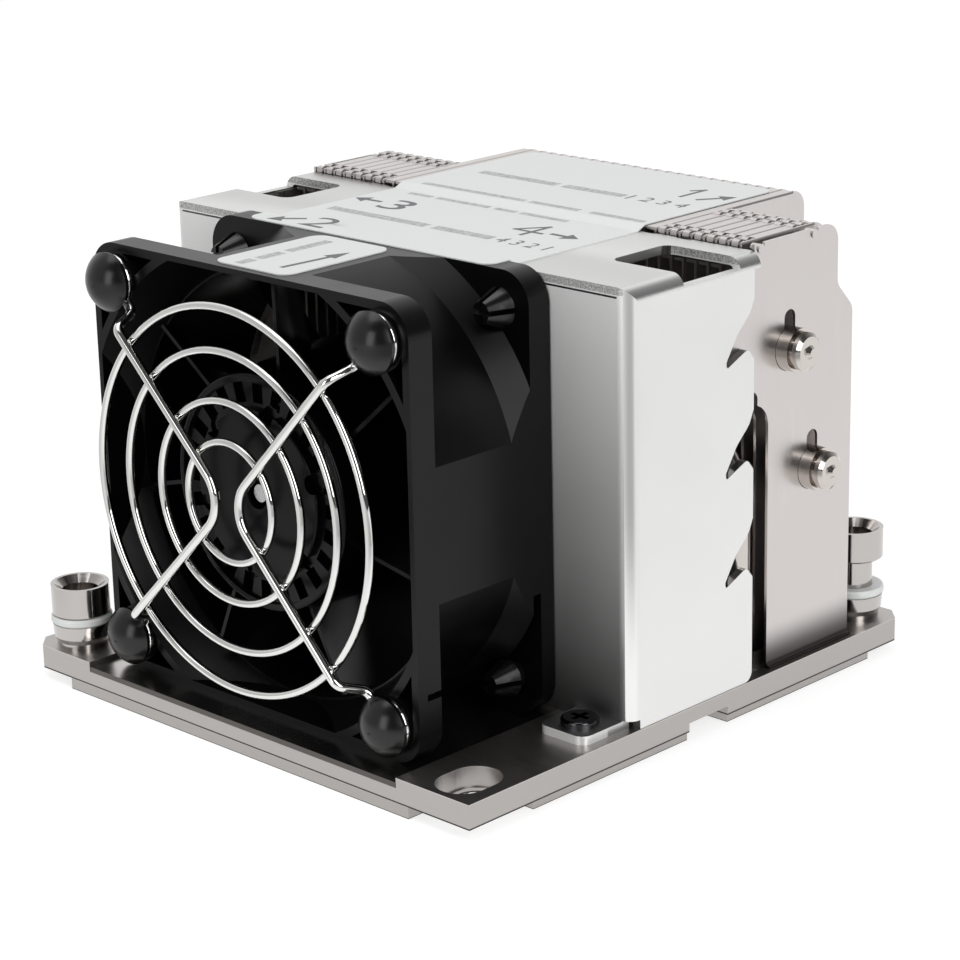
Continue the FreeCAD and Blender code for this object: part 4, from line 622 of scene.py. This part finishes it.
def print_labels():
    """The order numerals of the four nuts, their arrows, the air flow arrow and bars.

    Their places are in mm: left, right, low and high, or the ends of a line as (x, y).
    """
    ink, pale = screen_ink(), thin_ink()
    fan_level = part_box("fan_label")[1][2] / MM
    sheet_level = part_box("shroud")[1][2] / MM + FILM
    fin_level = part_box("fins_centre")[1][2] / MM + FILM
    films = [figure(ink, "2", -14.1, -9.5, -17.1, -11.9, fan_level),
             arrow(ink, (-15.3, -14.1), (-19.8, -17.4), fan_level),
             figure(ink, "3", -16.3, -12.0, -0.6, 4.9, sheet_level),
             arrow(ink, (-17.6, 2.3), (-22.6, 2.1), sheet_level),
             stroke(ink, (12.15, 4.9), (9.15, 1.25), sheet_level),
             stroke(ink, (9.15, 1.25), (13.9, 1.25), sheet_level + PASS),
             stroke(ink, (12.15, 4.9), (12.15, -0.8), sheet_level + 2 * PASS),
             arrow(ink, (14.9, 2.0), (19.9, 1.9), sheet_level),
             stroke(ink, (15.4, 28.1), (15.4, 33.4), fin_level),
             stroke(ink, (15.4, 33.4), (14.2, 32.0), fin_level + PASS),
             arrow(ink, (18.4, 27.7), (21.9, 32.4), fin_level),
             figure(ink, "1 2 3 4", 9.9, 20.2, 22.4, 24.9, fin_level),
             figure(ink, "4 3 2 1", 11.6, 20.6, -5.9, -3.4, sheet_level)]
    for left, right in ((-18.6, -3.6), (-2.3, 9.0)):
        films.append(bar(pale, left, right, 22.7, 24.5, fin_level))
    for left, right in ((-19.6, 0.2), (1.2, 10.3), (12.4, 22.0)):
        films.append(bar(pale, left, right, 12.2, 13.4, fin_level))
    for left, right in ((-18.7, -14.2), (-13.2, -3.0), (-1.9, 2.1), (3.0, 11.6)):
        films.append(bar(pale, left, right, 8.4, 9.5, sheet_level))
    for left, right in ((-20.6, -1.6), (-0.3, 10.6)):
        films.append(bar(pale, left, right, -5.6, -3.8, sheet_level))
    printed("top_label_print", films)
    films = [arrow(ink, (3.3, -35.8), (4.2, -24.6), fan_level, 0.75, 2.4, 3.4)]
    for low, high in ((-37.6, -35.0), (-34.2, -30.0), (-29.0, -21.6)):
        films.append(bar(pale, -3.6, -2.0, low, high, fan_level))
    printed("fan_label_print", films)


print_labels()


# ------------------------------------------------------------------ studio
FLOOR_GLOW, FLOOR_SHADE = 0.72, 0.42
FLOOR_NEAR, FLOOR_FAR = 0.07, 0.15      # metres out, between which its mirror level turns
# What polished metal sees all round, as (share of a turn from -X through -Y, level): the
# white backdrop stands behind, the dark of the room on the camera's side.
FLOOR_ROUND = ((0.0, 0.55), (0.13, 0.28), (0.26, 0.5), (0.34, 0.22), (0.39, 0.07),
               (0.46, 0.07), (0.53, 0.66), (0.62, 0.72), (0.9, 0.72), (1.0, 0.55))
ROOM_ROUND = ((0.0, 0.9), (0.08, 0.6), (0.2, 0.5), (0.27, 0.12), (0.34, 0.07),
              (0.6, 0.07), (0.7, 0.35), (0.8, 1.0), (1.0, 0.9))


def round_the_room(tree, way, levels):
    """The level that metal mirrors from each compass direction."""
    turn = add(tree, "ShaderNodeTexGradient", {"Vector": way}, gradient_type="RADIAL")
    scale = add(tree, "ShaderNodeValToRGB", {"Fac": turn.outputs["Fac"]})
    stops = scale.color_ramp.elements       # a new ramp comes with two
    for k, (spot, level) in enumerate(levels):
        stop = stops[k] if k < 2 else stops.new(spot)
        stop.position = spot
        stop.color = (level, level, level, 1)
    return scale.outputs["Color"]


def seen_rays(tree):
    """Two masks: what a camera sees, also off metal or through glass; its own rays."""
    rays = add(tree, "ShaderNodeLightPath")
    direct = add(tree, "ShaderNodeMath", {0: rays.outputs["Is Camera Ray"],
                                          1: rays.outputs["Is Glossy Ray"]},
                 operation="MAXIMUM")
    seen = add(tree, "ShaderNodeMath", {0: direct.outputs[0],
                                        1: rays.outputs["Is Transmission Ray"]},
               operation="MAXIMUM")
    return seen.outputs[0], rays.outputs["Is Camera Ray"]


def studio_floor():
    """A wide pale floor, seen as white but for the object's soft shadow.

    Metal mirrors it white towards the backdrop and dimmer in front, where it runs out
    of the light.
    """
    bpy.ops.object.select_all(action="DESELECT")
    bpy.ops.mesh.primitive_plane_add(size=6.0, location=(0, 0, 0))
    floor = bpy.context.object
    floor.name = "studio_floor"
    material, tree, shader, place = new_material("white_sweep", "#f4f4f4", 0.0, 0.6)
    shader.inputs["Specular IOR Level"].default_value = 0.0
    seen, camera_ray = seen_rays(tree)
    away = add(tree, "ShaderNodeVectorMath", {0: place}, operation="LENGTH")
    far = add(tree, "ShaderNodeMapRange", {"Value": away.outputs["Value"]},
              interpolation_type="SMOOTHSTEP", From_Min=FLOOR_NEAR, From_Max=FLOOR_FAR)
    mirrored = add(tree, "ShaderNodeMix", {"Factor": far.outputs["Result"],
                                           "B": round_the_room(tree, place, FLOOR_ROUND)},
                   A=FLOOR_GLOW)
    level = add(tree, "ShaderNodeMix", {"Factor": camera_ray,
                                        "A": mirrored.outputs["Result"]}, B=FLOOR_GLOW)
    glow = add(tree, "ShaderNodeEmission", {"Strength": level.outputs["Result"]})
    shade = add(tree, "ShaderNodeBsdfDiffuse")
    shade.inputs["Color"].default_value = (FLOOR_SHADE, FLOOR_SHADE, FLOOR_SHADE, 1)
    white = add(tree, "ShaderNodeAddShader", {0: glow.outputs[0], 1: shade.outputs[0]})
    mixed = add(tree, "ShaderNodeMixShader", {0: seen, 1: shader.outputs[0],
                                              2: white.outputs[0]})
    tree.links.new(mixed.outputs[0], tree.nodes["Material Output"].inputs["Surface"])
    floor.data.materials.append(material)


def studio_world():
    """White backdrop, mirrored white by metal, with the dark of the room facing it."""
    world = bpy.data.worlds.new("studio")
    bpy.context.scene.world = world
    world.use_nodes = True
    tree = world.node_tree
    tree.nodes.clear()
    seen, camera_ray = seen_rays(tree)
    way = add(tree, "ShaderNodeTexCoord").outputs["Generated"]
    level = add(tree, "ShaderNodeMix", {"Factor": camera_ray,
                                        "A": round_the_room(tree, way, ROOM_ROUND)},
                B=1.0)
    light = add(tree, "ShaderNodeBackground", Strength=0.5)
    light.inputs["Color"].default_value = (1, 1, 1, 1)
    shown = add(tree, "ShaderNodeBackground", {"Strength": level.outputs["Result"]})
    shown.inputs["Color"].default_value = (1, 1, 1, 1)
    mixed = add(tree, "ShaderNodeMixShader", {0: seen, 1: light.outputs["Background"],
                                              2: shown.outputs["Background"]})
    add(tree, "ShaderNodeOutputWorld", {"Surface": mixed.outputs["Shader"]})


def softbox(name, place, aim, wide, high, power):
    """A rectangular soft light aimed at a point, all in metres and watts."""
    lamp = bpy.data.lights.new(name, "AREA")
    lamp.shape = "RECTANGLE"
    lamp.size = wide
    lamp.size_y = high
    lamp.energy = power
    holder = bpy.data.objects.new(name, lamp)
    bpy.context.collection.objects.link(holder)
    holder.location = place
    way = Vector(aim) - Vector(place)
    holder.rotation_euler = way.to_track_quat("-Z", "Y").to_euler()


def camera():
    """The view over the cooler's front right corner."""
    azimuth, elevation, roll = (math.radians(a) for a in (45.31, 17.62, -1.58))
    aim = Vector((1.47, -8.38, 28.53)) * MM
    distance = 395.9 * MM
    back = Vector((math.sin(azimuth) * math.cos(elevation),
                   -math.cos(azimuth) * math.cos(elevation), math.sin(elevation)))
    level = Vector((math.cos(azimuth), math.sin(azimuth), 0))
    up = back.cross(level)
    right = math.cos(roll) * level + math.sin(roll) * up
    top = back.cross(right)
    data = bpy.data.cameras.new("camera")
    holder = bpy.data.objects.new("camera", data)
    bpy.context.collection.objects.link(holder)
    turn = Matrix((right, top, back)).transposed()
    holder.matrix_world = Matrix.Translation(aim + back * distance) @ turn.to_4x4()
    data.sensor_width = 36.0
    data.lens = 108.24
    data.shift_x = 0.0512
    data.shift_y = 0.0052
    data.clip_start = 0.01
    data.clip_end = 20.0
    bpy.context.scene.camera = holder


studio_floor()
studio_world()
middle = Vector((0, 0, 30)) * MM
softbox("key_right", (0.9, -0.25, 0.5), middle, 0.45, 0.75, 4.1)
softbox("top", (-0.15, -0.1, 1.0), middle, 0.7, 0.7, 2.3)
softbox("front", (0.15, -1.05, 0.3), middle, 0.4, 0.8, 2.2)
camera()
bpy.context.scene.view_settings.view_transform = "Standard"
